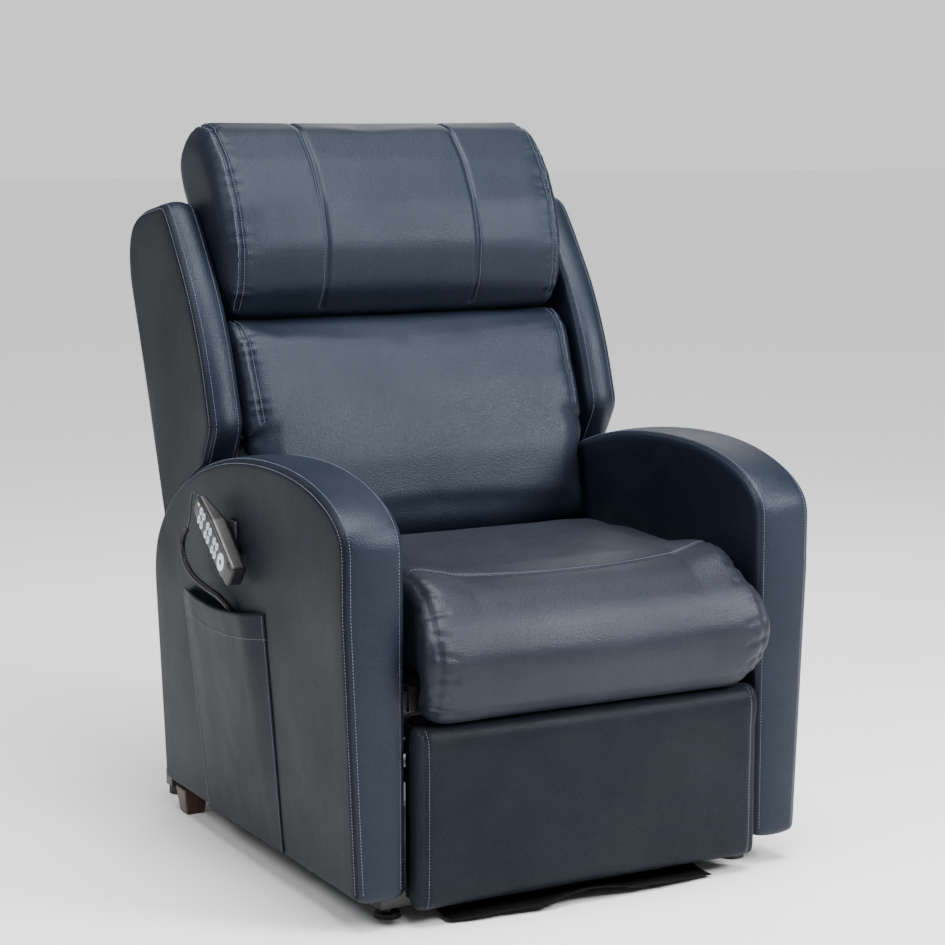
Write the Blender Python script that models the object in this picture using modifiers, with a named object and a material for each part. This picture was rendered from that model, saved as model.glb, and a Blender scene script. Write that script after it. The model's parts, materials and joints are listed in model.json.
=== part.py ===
"""Lift recliner chair: steel lift base, three-motor reclining mechanism, padded arms, seat and back.

Metres, +Z up, the sitter faces -Y.  The origin is on the floor, midway between the arms.
"Near" names the sitter's right side (-X), which carries the pocket and the handset.
"""
import math

import bmesh
import bpy
from mathutils import Matrix, Vector

# ---------------------------------------------------------------- driving dimensions
GAP = 0.0003                # between pieces that touch
HALF_WIDTH = 0.380          # to the outer face of an arm
ARM_INNER = 0.287
ARM_FRONT, ARM_REAR = -0.419, 0.300
ARM_TOP, ARM_TOP_Y, ARM_BOTTOM = 0.619, -0.170, 0.0428
ARM_FRONT_STRAIGHT = 0.526  # top of the arm's upright front face
ARM_REAR_STRAIGHT = 0.371
ARM_TAPER, ARM_TAPER_FROM = 0.016, 0.440
SEAT_HALF, SEAT_TOP = 0.266, 0.480
DECK_Z, DECK_THICK = 0.330, 0.012
PANEL_HALF = 0.2815         # half width of the footrest's padded panel
BACK_TILT = math.radians(20)
BACK_ORIGIN = Vector((0.0, 0.106, 0.615))   # where the back's front plane meets the arm tops
WING_INNER, WING_OUTER, WING_DEPTH, WING_TOP = 0.304, 0.3605, 0.226, 0.425

# Side lanes, from the middle outwards, as (inner, outer) distances from the centre plane.
LANE_PUSH = (0.202, 0.207)      # footrest links c and d
LANE_CRANK = (0.209, 0.214)     # footrest links a and b, and the footrest's brackets
LANE_HANGER = (0.216, 0.221)    # seat frame plates that carry links a and b
LANE_ARM = (0.2285, 0.2355)     # lift arms
LANE_PLATE = (0.237, 0.243)     # base and seat frame plates that carry the lift linkage
LANE_LINK = (0.2445, 0.2505)    # front lift links
LANE_HINGE = (0.253, 0.259)     # back hinge plates
RAIL = (0.262, 0.282)           # seat frame side rails

# Pivots, as (y, z).
LIFT_A, LIFT_B = (-0.130, 0.075), (0.2651, 0.1376)
LINK_A, LINK_B = (-0.1607, 0.0553), (0.1825, 0.1014)
LIFT_FOOT, LIFT_HEAD = (-0.274, 0.090), (-0.070, 0.244)
DRIVE = (-0.140, 0.300)
KNEE = (-0.060, 0.100)
FOOT_PIVOT = (-0.350, 0.200)
TWIN = (0.046, -0.0197)         # from link a's pivots to link b's
REACH = (-0.0186, 0.0464)       # from link c's pivots to link d's
HINGE = (0.100, 0.250)
TORSION = (0.190, 0.138)
PIN_R, HOLE_R = 0.005, 0.0055
LINK_R = 0.010

# Actuators: the middle of each one's lane, and the height of the two level rods.
LIFT_X, FOOT_X, BACK_X = 0.020, -0.090, 0.140
FOOT_ROD_Z, BACK_ROD_Z = DRIVE[1] - 0.045, HINGE[1] - 0.071
FOOT_PIN_Y, BACK_PIN_Y = DRIVE[0] + 0.0421, HINGE[0] + 0.02307

# Handset: the middle of its lower end, its axis and its size.
HANDSET_END = Vector((-0.3860, -0.0980, 0.4440))
HANDSET_ANGLE = math.radians(37.2)
HANDSET_LENGTH, HANDSET_WIDTH, HANDSET_THICK = 0.158, 0.046, 0.026
KEY_LOW, KEY_HIGH = 0.0220, 0.0275      # a key's ends, out of the handset's back

COLOURS = {
    "leather": ((0.035, 0.048, 0.085), 0.45, 0.0),
    "leather_side": ((0.060, 0.063, 0.075), 0.5, 0.0),
    "steel": ((0.02, 0.02, 0.022), 0.45, 1.0),
    "zinc": ((0.55, 0.56, 0.58), 0.35, 1.0),
    "plastic": ((0.012, 0.012, 0.014), 0.4, 0.0),
    "key": ((0.75, 0.77, 0.80), 0.4, 0.0),
    "wood": ((0.09, 0.045, 0.03), 0.5, 0.0),
    "board": ((0.45, 0.33, 0.20), 0.7, 0.0),
    "cloth": ((0.01, 0.01, 0.012), 0.9, 0.0),
}


# ---------------------------------------------------------------- small tools
def clear_scene():
    for thing in list(bpy.data.objects):
        bpy.data.objects.remove(thing)


def collection(name):
    made = bpy.data.collections.new(name)
    bpy.context.scene.collection.children.link(made)
    return made


def material(name):
    found = bpy.data.materials.get(name)
    if found:
        return found
    colour, roughness, metallic = COLOURS[name]
    made = bpy.data.materials.new(name)
    made.use_nodes = True
    shader = made.node_tree.nodes["Principled BSDF"]
    shader.inputs["Base Color"].default_value = (*colour, 1.0)
    shader.inputs["Roughness"].default_value = roughness
    shader.inputs["Metallic"].default_value = metallic
    return made


def add_mesh(name, mesh, finish=None, cutter=False):
    thing = bpy.data.objects.new(name, mesh)
    (CUTTERS if cutter else PARTS).objects.link(thing)
    if finish:
        mesh.materials.clear()
        mesh.materials.append(material(finish))
    if cutter:
        thing.hide_render = True
        thing.display_type = "WIRE"
    return thing


def box(name, low, high, finish=None, cutter=False, bevel=0.0, segments=1):
    """An upright block between two corners, its scale already in its mesh."""
    mesh = bpy.data.meshes.new(name)
    shape = bmesh.new()
    size = [h - l for l, h in zip(low, high)]
    middle = [(h + l) / 2 for l, h in zip(low, high)]
    bmesh.ops.create_cube(shape, size=1.0, matrix=Matrix.Translation(middle) @ Matrix.Diagonal((*size, 1)))
    shape.to_mesh(mesh)
    shape.free()
    thing = add_mesh(name, mesh, finish, cutter)
    if bevel:
        soften(thing, bevel, segments)
    return thing


def rod(name, start, end, radius, finish=None, cutter=False, sides=20, end_radius=None):
    """A round bar between two points."""
    start, end = Vector(start), Vector(end)
    axis = end - start
    turn = Vector((0, 0, 1)).rotation_difference(axis).to_matrix().to_4x4()
    mesh = bpy.data.meshes.new(name)
    shape = bmesh.new()
    bmesh.ops.create_cone(
        shape, cap_ends=True, segments=sides, radius1=radius,
        radius2=radius if end_radius is None else end_radius, depth=axis.length,
        matrix=Matrix.Translation((start + end) / 2) @ turn)
    shape.to_mesh(mesh)
    shape.free()
    thing = add_mesh(name, mesh, finish, cutter)
    mesh.shade_smooth()
    mesh.set_sharp_from_angle(angle=math.radians(40))
    return thing


def cross_rod(name, at, x0, x1, radius, finish=None, cutter=False, sides=20):
    return rod(name, (x0, *at), (x1, *at), radius, finish, cutter, sides)


def circle(centre, radius, count):
    step = 2 * math.pi / count
    return [(centre[0] + radius * math.cos(i * step), centre[1] + radius * math.sin(i * step))
            for i in range(count)]


def hull(points):
    """The convex outline around some points, counter-clockwise."""
    points = sorted(set((round(a, 7), round(b, 7)) for a, b in points))

    def half(run):
        chain = []
        for p in run:
            while len(chain) > 1:
                (ax, ay), (bx, by) = chain[-2], chain[-1]
                if (bx - ax) * (p[1] - ay) - (by - ay) * (p[0] - ax) > 0:
                    break
                chain.pop()
            chain.append(p)
        return chain[:-1]

    return half(points) + half(points[::-1])


def around(*eyes, count=20):
    """The outline that wraps round eyes given as (centre, radius)."""
    return hull([p for centre, radius in eyes for p in circle(centre, radius, count)])


def plate(name, outline, x0, x1, finish=None, holes=(), cutter=False):
    """A flat outline in the side view, given as (y, z) points, made solid from x0 to x1."""
    x0, x1 = min(x0, x1), max(x0, x1)
    curve = bpy.data.curves.new(name, "CURVE")
    curve.dimensions = "2D"
    curve.fill_mode = "BOTH"
    curve.extrude = (x1 - x0) / 2
    for loop in (outline, *holes):
        spline = curve.splines.new("POLY")
        spline.points.add(len(loop) - 1)
        for point, (y, z) in zip(spline.points, loop):
            point.co = (y, z, 0, 1)
        spline.use_cyclic_u = True
    guide = bpy.data.objects.new(name + "_outline", curve)
    # The curve's own X, Y and Z become the part's Y, Z and X.
    guide.matrix_world = Matrix(((0, 0, 1, (x0 + x1) / 2), (1, 0, 0, 0), (0, 1, 0, 0), (0, 0, 0, 1)))
    return from_curve(name, guide, finish, cutter)


def from_curve(name, guide, finish, cutter=False):
    """The closed mesh of a curve object, which is then removed."""
    bpy.context.scene.collection.objects.link(guide)
    bpy.context.view_layer.update()
    graph = bpy.context.evaluated_depsgraph_get()
    mesh = bpy.data.meshes.new_from_object(guide.evaluated_get(graph))
    place = guide.matrix_world.copy()
    bpy.data.objects.remove(guide)
    shape = bmesh.new()
    shape.from_mesh(mesh)
    bmesh.ops.remove_doubles(shape, verts=shape.verts, dist=0.00001)
    bmesh.ops.recalc_face_normals(shape, faces=shape.faces)
    shape.to_mesh(mesh)
    shape.free()
    mesh.name = name
    thing = add_mesh(name, mesh, finish, cutter)
    thing.matrix_world = place
    return thing


def tube(name, points, radius, finish, cutter=False, resolution=2):
    """A round cord or wire along points."""
    curve = bpy.data.curves.new(name, "CURVE")
    curve.dimensions = "3D"
    curve.bevel_depth = radius
    curve.bevel_resolution = resolution
    curve.use_fill_caps = True
    spline = curve.splines.new("POLY")
    spline.points.add(len(points) - 1)
    for point, co in zip(spline.points, points):
        point.co = (*co, 1)
    return from_curve(name, bpy.data.objects.new(name + "_path", curve), finish, cutter)


def boolean(target, others, operation):
    for other in others:
        change = target.modifiers.new(operation.lower(), "BOOLEAN")
        change.operation = operation
        change.solver = "EXACT"
        change.object = other
    return target


def weld(target, *others):
    """Joins others to target; the others must be cutters."""
    return boolean(target, others, "UNION")


def cut(target, *others):
    return boolean(target, others, "DIFFERENCE")


def soften(thing, width, segments=2, angle=40):
    bevel = thing.modifiers.new("soften", "BEVEL")
    bevel.width = width
    bevel.segments = segments
    bevel.limit_method = "ANGLE"
    bevel.angle_limit = math.radians(angle)
    return thing


def smooth_curve(points, count):
    """Points spread along a Catmull-Rom curve through a few given ones."""
    points = [Vector(p) for p in points]
    ends = [points[0] * 2 - points[1], *points, points[-1] * 2 - points[-2]]
    made = []
    spans = len(points) - 1
    for i in range(count):
        t = i / (count - 1) * spans
        k = min(int(t), spans - 1)
        t -= k
        a, b, c, d = ends[k:k + 4]
        made.append(0.5 * (2 * b + (c - a) * t + (2 * a - 5 * b + 4 * c - d) * t * t
                           + (3 * b - a - 3 * c + d) * t ** 3))
    return made


def lane(side, pair):
    return sorted((side * pair[0], side * pair[1]))


def moved(at, step):
    return (at[0] + step[0], at[1] + step[1])


def along(a, b, distance):
    """The point a given distance from a towards b."""
    length = math.dist(a, b)
    return (a[0] + (b[0] - a[0]) * distance / length, a[1] + (b[1] - a[1]) * distance / length)


def on_back(s, d):
    """The (y, z) of a point s up the back and d behind its front plane."""
    up, rear = (math.sin(BACK_TILT), math.cos(BACK_TILT)), (math.cos(BACK_TILT), -math.sin(BACK_TILT))
    return (BACK_ORIGIN.y + s * up[0] + d * rear[0], BACK_ORIGIN.z + s * up[1] + d * rear[1])


SIDES = (("left", 1), ("right", -1))


# ---------------------------------------------------------------- base
def base_frame():
    frame = box("base_frame", (-0.305, -0.372, 0.014), (0.305, -0.346, 0.040), "steel")
    extra = [
        box("base_rear", (-0.335, 0.345, 0.014), (0.335, 0.371, 0.040), cutter=True),
        box("base_middle", (-0.24, -0.288, 0.014), (0.24, -0.262, 0.040), cutter=True),
    ]
    for name, side in SIDES:
        x0, x1 = lane(side, (0.226, 0.256))
        extra.append(box("base_rail_" + name, (x0, -0.360, 0.014), (x1, 0.360, 0.040), cutter=True))
        x0, x1 = lane(side, LANE_PLATE)
        outline = around((LIFT_A, 0.017), (LINK_A, 0.014), ((-0.175, 0.034), 0.006), ((-0.100, 0.034), 0.006))
        extra.append(plate("base_plate_" + name, outline, x0, x1, cutter=True,
                           holes=[circle(LIFT_A, HOLE_R, 16), circle(LINK_A, HOLE_R, 16)]))
    for i, x in enumerate((LIFT_X - 0.022, LIFT_X + 0.017)):
        outline = around((LIFT_FOOT, 0.013), ((-0.283, 0.034), 0.004), ((-0.265, 0.034), 0.004))
        extra.append(plate(f"base_fork_{i}", outline, x, x + 0.005, cutter=True))
    extra.append(cross_rod("base_pin", LIFT_FOOT, LIFT_X - 0.020, LIFT_X + 0.020, PIN_R, cutter=True))
    return weld(frame, *extra)


def levelling_foot(name, side):
    """A rubber disc on a threaded stem, under the end of the front cross tube."""
    at = (side * 0.2885, -0.359)
    foot = rod("levelling_foot_" + name, (*at, 0.0), (*at, 0.0065), 0.0195, "plastic", sides=28, end_radius=0.0175)
    stem = rod("foot_stem_" + name, (*at, 0.004), (*at, 0.014 - GAP), 0.0055, cutter=True)
    return weld(foot, stem)


def rear_foot(name, side):
    at = (side * 0.318, 0.358)
    return rod("rear_foot_" + name, (*at, 0.0), (*at, 0.014 - GAP), 0.016, "plastic", sides=20)


def dust_cover():
    """Black lining cloth that hangs from the front cross tube and lies forward on the floor."""
    outline = [(-0.3745, 0.036), (-0.3745, 0.012), (-0.385, 0.0035), (-0.447, 0.0005),
               (-0.447, 0.004), (-0.386, 0.0075), (-0.3775, 0.014), (-0.3775, 0.036)]
    return plate("dust_cover", outline, -0.225, 0.205, "cloth")


# ---------------------------------------------------------------- lift linkage
def lift_frame():
    """Weldment of the two lift arms and the torsion tube between them."""
    frame = cross_rod("lift_frame", TORSION, -0.231, 0.231, 0.0125, "steel")
    extra = []
    for name, side in SIDES:
        x0, x1 = lane(side, LANE_ARM)
        outline = around((LIFT_A, 0.015), (TORSION, 0.017), (LIFT_B, 0.015))
        extra.append(plate("lift_arm_" + name, outline, x0, x1, cutter=True))
        extra += [cross_rod(f"lift_pin_{name}_{i}", at, side * 0.230, side * 0.2435, PIN_R, cutter=True)
                  for i, at in enumerate((LIFT_A, LIFT_B))]
    return weld(frame, *extra)


def front_link(name, side):
    x0, x1 = lane(side, LANE_LINK)
    link = plate("front_link_" + name, around((LINK_A, 0.0095), (LINK_B, 0.0095)), x0, x1, "steel")
    # The pivot on the seat frame stays open: its pin stops short of the seat frame's plate.
    pin = cross_rod("front_pin_" + name, LINK_A, side * 0.249, side * 0.2368, PIN_R, cutter=True)
    return weld(link, pin)


def actuator_axis():
    foot, head = Vector((LIFT_X, *LIFT_FOOT)), Vector((LIFT_X, *LIFT_HEAD))
    return foot, head, (head - foot).normalized()


def lift_motor():
    """Gearbox, motor and outer tube of the lift actuator."""
    foot, _, way = actuator_axis()
    motor = rod("lift_motor", foot + way * 0.070, foot + way * 0.214, 0.0165, "plastic")
    housing = box("lift_housing", (-0.030, 0.016, -0.026), (0.030, 0.080, 0.024), cutter=True, bevel=0.005)
    housing.matrix_world = Matrix.Translation(foot) @ Matrix.Rotation(math.atan2(way.z, way.y), 4, "X")
    lug = plate("lift_lug", around((LIFT_FOOT, 0.012), ((LIFT_FOOT[0] + way.y * 0.03, LIFT_FOOT[1] + way.z * 0.03), 0.012)),
                LIFT_X - 0.016, LIFT_X + 0.016, cutter=True, holes=[circle(LIFT_FOOT, HOLE_R, 16)])
    bore = rod("lift_bore", foot + way * 0.095, foot + way * 0.220, 0.0125, cutter=True)
    return cut(weld(motor, housing, lug), bore)


def lift_rod():
    foot, head, way = actuator_axis()
    bar = rod("lift_rod", foot + way * 0.100, head - way * 0.010, 0.0110, "zinc")
    eye = plate("lift_eye", around((LIFT_HEAD, 0.012), (along(LIFT_HEAD, LIFT_FOOT, 0.018), 0.009)),
                LIFT_X - 0.009, LIFT_X + 0.009, cutter=True)
    hole = cross_rod("lift_eye_hole", LIFT_HEAD, LIFT_X - 0.02, LIFT_X + 0.02, PIN_R + 0.0015, cutter=True)
    return cut(weld(bar, eye), hole)


# ---------------------------------------------------------------- seat frame
def seat_frame():
    top = DECK_Z - GAP
    frame = box("seat_frame", (-0.268, -0.388, 0.294), (0.268, -0.366, top), "steel")
    extra = [
        box("frame_middle", (-0.268, -0.060, 0.294), (0.268, -0.032, top), cutter=True),
        box("frame_deck_rear", (-0.268, 0.034, 0.294), (0.268, 0.056, top), cutter=True),
        # The rear cross tube lies low, so that the back's lower edge can swing over it.
        box("frame_rear", (-0.268, 0.250, 0.196), (0.268, 0.278, 0.224), cutter=True),
    ]
    for name, side in SIDES:
        x0, x1 = lane(side, RAIL)
        extra.append(box("frame_rail_" + name, (x0, -0.381, 0.264), (x1, 0.130, 0.322), cutter=True))
        extra.append(plate("frame_tail_" + name, around(((0.118, 0.280), 0.024), ((0.264, 0.210), 0.014)),
                           x0 + 0.001, x1 - 0.001, cutter=True))
        holes = [circle(HINGE, HOLE_R, 16)]
        extra.append(plate("frame_hinge_" + name, around((HINGE, 0.020), ((0.10, 0.275), 0.026)),
                           x0, x1, holes=holes, cutter=True))
        x0, x1 = lane(side, LANE_HANGER)
        twin = moved(DRIVE, TWIN)
        outline = around((DRIVE, 0.0155), (twin, 0.014), ((-0.042, 0.312), 0.010))
        extra.append(plate("frame_hanger_" + name, outline, x0, x1, cutter=True,
                           holes=[circle(DRIVE, 0.0130, 20), circle(twin, HOLE_R, 16)]))
        x0, x1 = lane(side, LANE_PLATE)
        outline = around((LIFT_B, 0.017), (LINK_B, 0.014), ((0.264, 0.211), 0.010))
        extra.append(plate("frame_plate_" + name, outline, x0, x1, cutter=True,
                           holes=[circle(LIFT_B, HOLE_R, 16), circle(LINK_B, HOLE_R, 16)]))
    for i, x in enumerate((LIFT_X - 0.0175, LIFT_X + 0.0125)):
        outline = around((LIFT_HEAD, 0.012), ((-0.046, 0.305), 0.010))
        extra.append(plate(f"frame_fork_{i}", outline, x, x + 0.005, cutter=True))
    extra.append(cross_rod("frame_fork_pin", LIFT_HEAD, LIFT_X - 0.015, LIFT_X + 0.015, PIN_R, cutter=True))
    drop = BACK_ROD_Z + 0.0165 + GAP
    extra.append(box("frame_drop", (BACK_X - 0.012, -0.058, drop), (BACK_X + 0.012, -0.036, 0.300), cutter=True))
    return weld(frame, *extra)


def seat_deck():
    return box("seat_deck", (-0.262, -0.386, DECK_Z), (0.262, 0.058, DECK_Z + DECK_THICK), "board")


def seat_cushion():
    """Padded seat with its front roll, which hangs in front of the frame."""
    bottom = DECK_Z + DECK_THICK + GAP
    outline = [(0.034, bottom), (0.034, 0.440), (0.024, 0.462), (-0.020, 0.474), (-0.160, SEAT_TOP),
               (-0.345, SEAT_TOP - 0.002), (-0.402, 0.466), (-0.440, 0.430), (-0.459, 0.380), (-0.459, 0.335),
               (-0.452, 0.300), (-0.440, 0.2875), (-0.405, 0.2865), (-0.3905, 0.292), (-0.3905, bottom)]
    return soften(plate("seat_cushion", outline, -SEAT_HALF, SEAT_HALF, "leather"), 0.012, 2, 70)


def rear_panel():
    """Upholstered board that closes the chair's back between the arms."""
    return box("rear_panel", (-0.2867, 0.2845, 0.060), (0.2867, 0.2965, 0.225), "leather", bevel=0.003)


def control_box():
    """Power and control unit, under the deck on the sitter's left."""
    return box("control_box", (0.060, -0.350, 0.300), (0.180, -0.300, DECK_Z - GAP), "plastic", bevel=0.003)


def arc(centre, reach, start, end, power, count):
    """Points on a superellipse quarter, angles in quarter turns."""
    made = []
    for i in range(count + 1):
        t = (start + (end - start) * i / count) * math.pi / 2
        c, s = math.cos(t), math.sin(t)
        made.append((centre[0] + reach[0] * math.copysign(abs(c) ** (2 / power), c),
                     centre[1] + reach[1] * math.copysign(abs(s) ** (2 / power), s)))
    return made


def arm_top_line(grow=0.0, count=12):
    """The arm's outline over the top, from the rear forwards."""
    rear = arc((ARM_TOP_Y, ARM_REAR_STRAIGHT), (ARM_REAR - ARM_TOP_Y + grow, ARM_TOP - ARM_REAR_STRAIGHT + grow),
               0, 1, 2.06, count)
    front = arc((ARM_TOP_Y, ARM_FRONT_STRAIGHT), (ARM_TOP_Y - ARM_FRONT + grow, ARM_TOP - ARM_FRONT_STRAIGHT + grow),
                1, 2, 2.1, count)
    return rear + front[1:]


def arm(name, side):
    outline = [(ARM_FRONT, ARM_BOTTOM), (ARM_REAR, ARM_BOTTOM)] + arm_top_line()
    thing = plate("arm_" + name, outline, side * ARM_INNER, side * HALF_WIDTH,
                  "leather")
    shape = bmesh.new()
    shape.from_mesh(thing.data)
    shape.transform(thing.matrix_world)
    bmesh.ops.bisect_plane(shape, geom=[*shape.verts, *shape.edges, *shape.faces],
                           plane_co=(0, 0, ARM_TAPER_FROM), plane_no=(0, 0, 1))
    for point in shape.verts:
        if abs(point.co.x) > HALF_WIDTH - 0.001 and point.co.z < ARM_TAPER_FROM:
            point.co.x = side * arm_outer(point.co.z)
    shape.to_mesh(thing.data)
    shape.free()
    thing.matrix_world = Matrix.Identity(4)
    return soften(thing, 0.006, 2, 50)


def arm_outer(z):
    """How far from the centre plane an arm's outer face is at height z."""
    below = max(0.0, ARM_TAPER_FROM - z) / (ARM_TAPER_FROM - ARM_BOTTOM)
    return HALF_WIDTH - ARM_TAPER * below


def side_pocket():
    """Patch pocket on the near arm, open at the top; it leans with the arm's side."""
    wall, depth = 0.003, 0.018
    corners = [(-0.176, 0.069), (0.109, 0.049), (0.165, 0.375)]
    mouth = [(0.140, 0.389), (0.113, 0.3905), (0.069, 0.385), (0.009, 0.384), (-0.050, 0.388), (-0.115, 0.3955),
             (-0.178, 0.406)]
    shell = leaning("side_pocket", corners + mouth, -GAP, -depth - wall, "leather_side")
    inner = [(-0.171, 0.074), (0.104, 0.054), (0.158, 0.420), (-0.173, 0.430)]
    room = leaning("pocket_room", inner, 0.004, -depth, cutter=True)
    return cut(shell, room)


def leaning(name, outline, near, far, finish=None, cutter=False):
    """A plate on the near arm's side, from near to far of that side's leaning face."""
    thing = plate(name, outline, 0.0, 1.0, finish, cutter=cutter)
    shape = bmesh.new()
    shape.from_mesh(thing.data)
    shape.transform(thing.matrix_world)
    for point in shape.verts:
        point.co.x = -arm_outer(point.co.z) + (near if point.co.x > 0.5 else far)
    bmesh.ops.recalc_face_normals(shape, faces=shape.faces)
    shape.to_mesh(thing.data)
    shape.free()
    thing.matrix_world = Matrix.Identity(4)
    return thing


def rear_leg(name, side):
    """Square tapered wooden leg under an arm."""
    x, y, top = side * 0.3400, 0.243, ARM_BOTTOM - GAP
    leg = rod("rear_leg_" + name, (x, y, 0.0), (x, y, top), 0.0215, "wood", sides=4, end_radius=0.0290)
    shape = bmesh.new()
    shape.from_mesh(leg.data)
    shape.transform(Matrix.Translation((x, y, 0)) @ Matrix.Rotation(math.radians(45), 4, "Z")
                    @ Matrix.Translation((-x, -y, 0)))
    shape.to_mesh(leg.data)
    shape.free()
    leg.data.shade_flat()
    return soften(leg, 0.002, 1, 60)


# ---------------------------------------------------------------- level actuators
def level_motor(name, x, z, pin_y, way, clear, hang):
    """Motor, gearbox and outer tube of an actuator that lies level; way is +1 when it points to +Y."""
    tube_end, tube_start = pin_y - way * clear, pin_y - way * (clear + 0.172)
    motor = rod(name, (x, tube_start, z), (x, tube_end, z), 0.0160, "plastic")
    y0, y1 = sorted((tube_start - way * 0.064, tube_start + way * 0.006))
    housing = box(name + "_housing", (x - 0.029, y0, z - 0.036), (x + 0.029, y1, z + 0.024), cutter=True, bevel=0.005)
    low, high, top = hang
    lug = box(name + "_lug", (x - 0.009, low, z + 0.004), (x + 0.009, high, top - GAP), cutter=True)
    bore = rod(name + "_bore", (x, tube_start + way * 0.012, z), (x, tube_end + way * 0.01, z), 0.0125, cutter=True)
    return cut(weld(motor, housing, lug), bore)


def level_rod(name, x, z, pin_y, way, length, fork):
    """Its rod, with a fork and a cross pin at the end; fork is (inner, outer) from the lane's middle."""
    bar = rod(name, (x, pin_y - way * length, z), (x, pin_y - way * 0.036, z), 0.0110, "zinc")
    y0, y1 = sorted((pin_y - way * 0.041, pin_y - way * 0.030))
    bridge = box(name + "_bridge", (x - fork[1], y0, z - 0.009), (x + fork[1], y1, z + 0.009), cutter=True)
    extra = [bridge]
    for i, (a, b) in enumerate(((-fork[1], -fork[0]), (fork[0], fork[1]))):
        cheek = around(((pin_y, z), 0.009), ((pin_y - way * 0.031, z), 0.009))
        extra.append(plate(f"{name}_cheek_{i}", cheek, x + a, x + b, cutter=True))
    extra.append(cross_rod(name + "_pin", (pin_y, z), x - fork[1], x + fork[1], 0.004, cutter=True))
    return weld(bar, *extra)


def slotted_crank(name, pivot, angle, near, far, slot_half, x0, x1):
    """Crank plate with a slot along its own line, so that a straight-moving pin can turn it."""
    def at(distance):
        return (pivot[0] + distance * math.cos(angle), pivot[1] + distance * math.sin(angle))
    edge = slot_half + 0.006
    outline = around((pivot, 0.018), (at(near), edge), (at(far), edge))
    slot = around((at(near), slot_half), (at(far), slot_half))
    return plate(name, outline, x0, x1, cutter=True, holes=[slot])


# ---------------------------------------------------------------- footrest
def footrest_drive():
    """Weldment of the drive tube, the slotted crank that the actuator turns, and the two links a."""
    thing = cross_rod("footrest_drive", DRIVE, -0.2225, 0.2225, 0.0125, "steel")
    extra = [slotted_crank("drive_crank", DRIVE, math.radians(-45), 0.0425, 0.0655, 0.0075,
                           FOOT_X - 0.003, FOOT_X + 0.003)]
    tie = moved(KNEE, REACH)
    for name, side in SIDES:
        x0, x1 = lane(side, LANE_CRANK)
        outline = around((DRIVE, 0.018), (tie, 0.010), (KNEE, LINK_R))
        extra.append(plate("link_a_" + name, outline, x0, x1, cutter=True))
        extra += [cross_rod(f"link_a_pin_{name}_{i}", at, side * 0.211, side * 0.2018, 0.004, cutter=True)
                  for i, at in enumerate((KNEE, tie))]
    return weld(thing, *extra)


def link_b(name, side):
    """Second crank, parallel to link a."""
    x0, x1 = lane(side, LANE_CRANK)
    top, low = moved(DRIVE, TWIN), moved(KNEE, TWIN)
    link = plate("footrest_link_b_" + name, around((top, LINK_R), (low, LINK_R)), x0, x1, "zinc")
    pivot = cross_rod("link_b_pivot_" + name, top, side * 0.212, side * 0.2215, PIN_R, cutter=True)
    # Its lower pin, to link c, stays open.
    return weld(link, pivot)


def link_c(name, side):
    """Long push link; its rear end reaches past the knee to link b."""
    x0, x1 = lane(side, LANE_PUSH)
    twin = moved(KNEE, TWIN)
    outline = around((FOOT_PIVOT, LINK_R), (KNEE, LINK_R), (twin, LINK_R))
    return plate("footrest_link_c_" + name, outline, x0, x1, "zinc",
                 holes=[circle(p, 0.0045, 16) for p in (FOOT_PIVOT, KNEE)])


def link_d(name, side):
    """Keeps the footrest panel parallel to link a."""
    x0, x1 = lane(side, LANE_PUSH)
    start, end = moved(KNEE, REACH), moved(FOOT_PIVOT, REACH)
    return plate("footrest_link_d_" + name, around((start, 0.009), (end, 0.009)), x0, x1, "zinc",
                 holes=[circle(start, 0.0045, 16)])


def footrest_bracket(name, side):
    """Angle bracket behind the footrest board; it carries link c's pivot."""
    x0, x1 = lane(side, LANE_CRANK)
    rear = -0.3835 + GAP
    high = moved(FOOT_PIVOT, REACH)
    outline = hull([(rear, 0.150), (rear, 0.262)] + circle(FOOT_PIVOT, 0.012, 20) + circle(high, 0.012, 20))
    web = plate("footrest_bracket_" + name, outline, x0, x1, "zinc")
    f0, f1 = lane(side, (0.2095, 0.240))
    flange = box("bracket_flange_" + name, (f0, rear, 0.140), (f1, rear + 0.003, 0.265), cutter=True)
    pin = cross_rod("bracket_pin_" + name, FOOT_PIVOT, side * 0.211, side * 0.2018, 0.004, cutter=True)
    return weld(web, flange, pin)


def footrest_board():
    return box("footrest_board", (-0.272, -0.3967, 0.032), (0.272, -0.3835, 0.276), "board")


def footrest_cushion():
    """Padded panel on the board, full width between the arms."""
    outline = [(-0.397, 0.0225), (-0.397, 0.2795), (-0.418, 0.2815), (-0.436, 0.2765), (-0.4425, 0.262),
               (-0.4405, 0.150), (-0.4395, 0.034), (-0.434, 0.0225)]
    return soften(plate("footrest_cushion", outline, -PANEL_HALF, PANEL_HALF, "leather"), 0.008, 2, 70)


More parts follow.
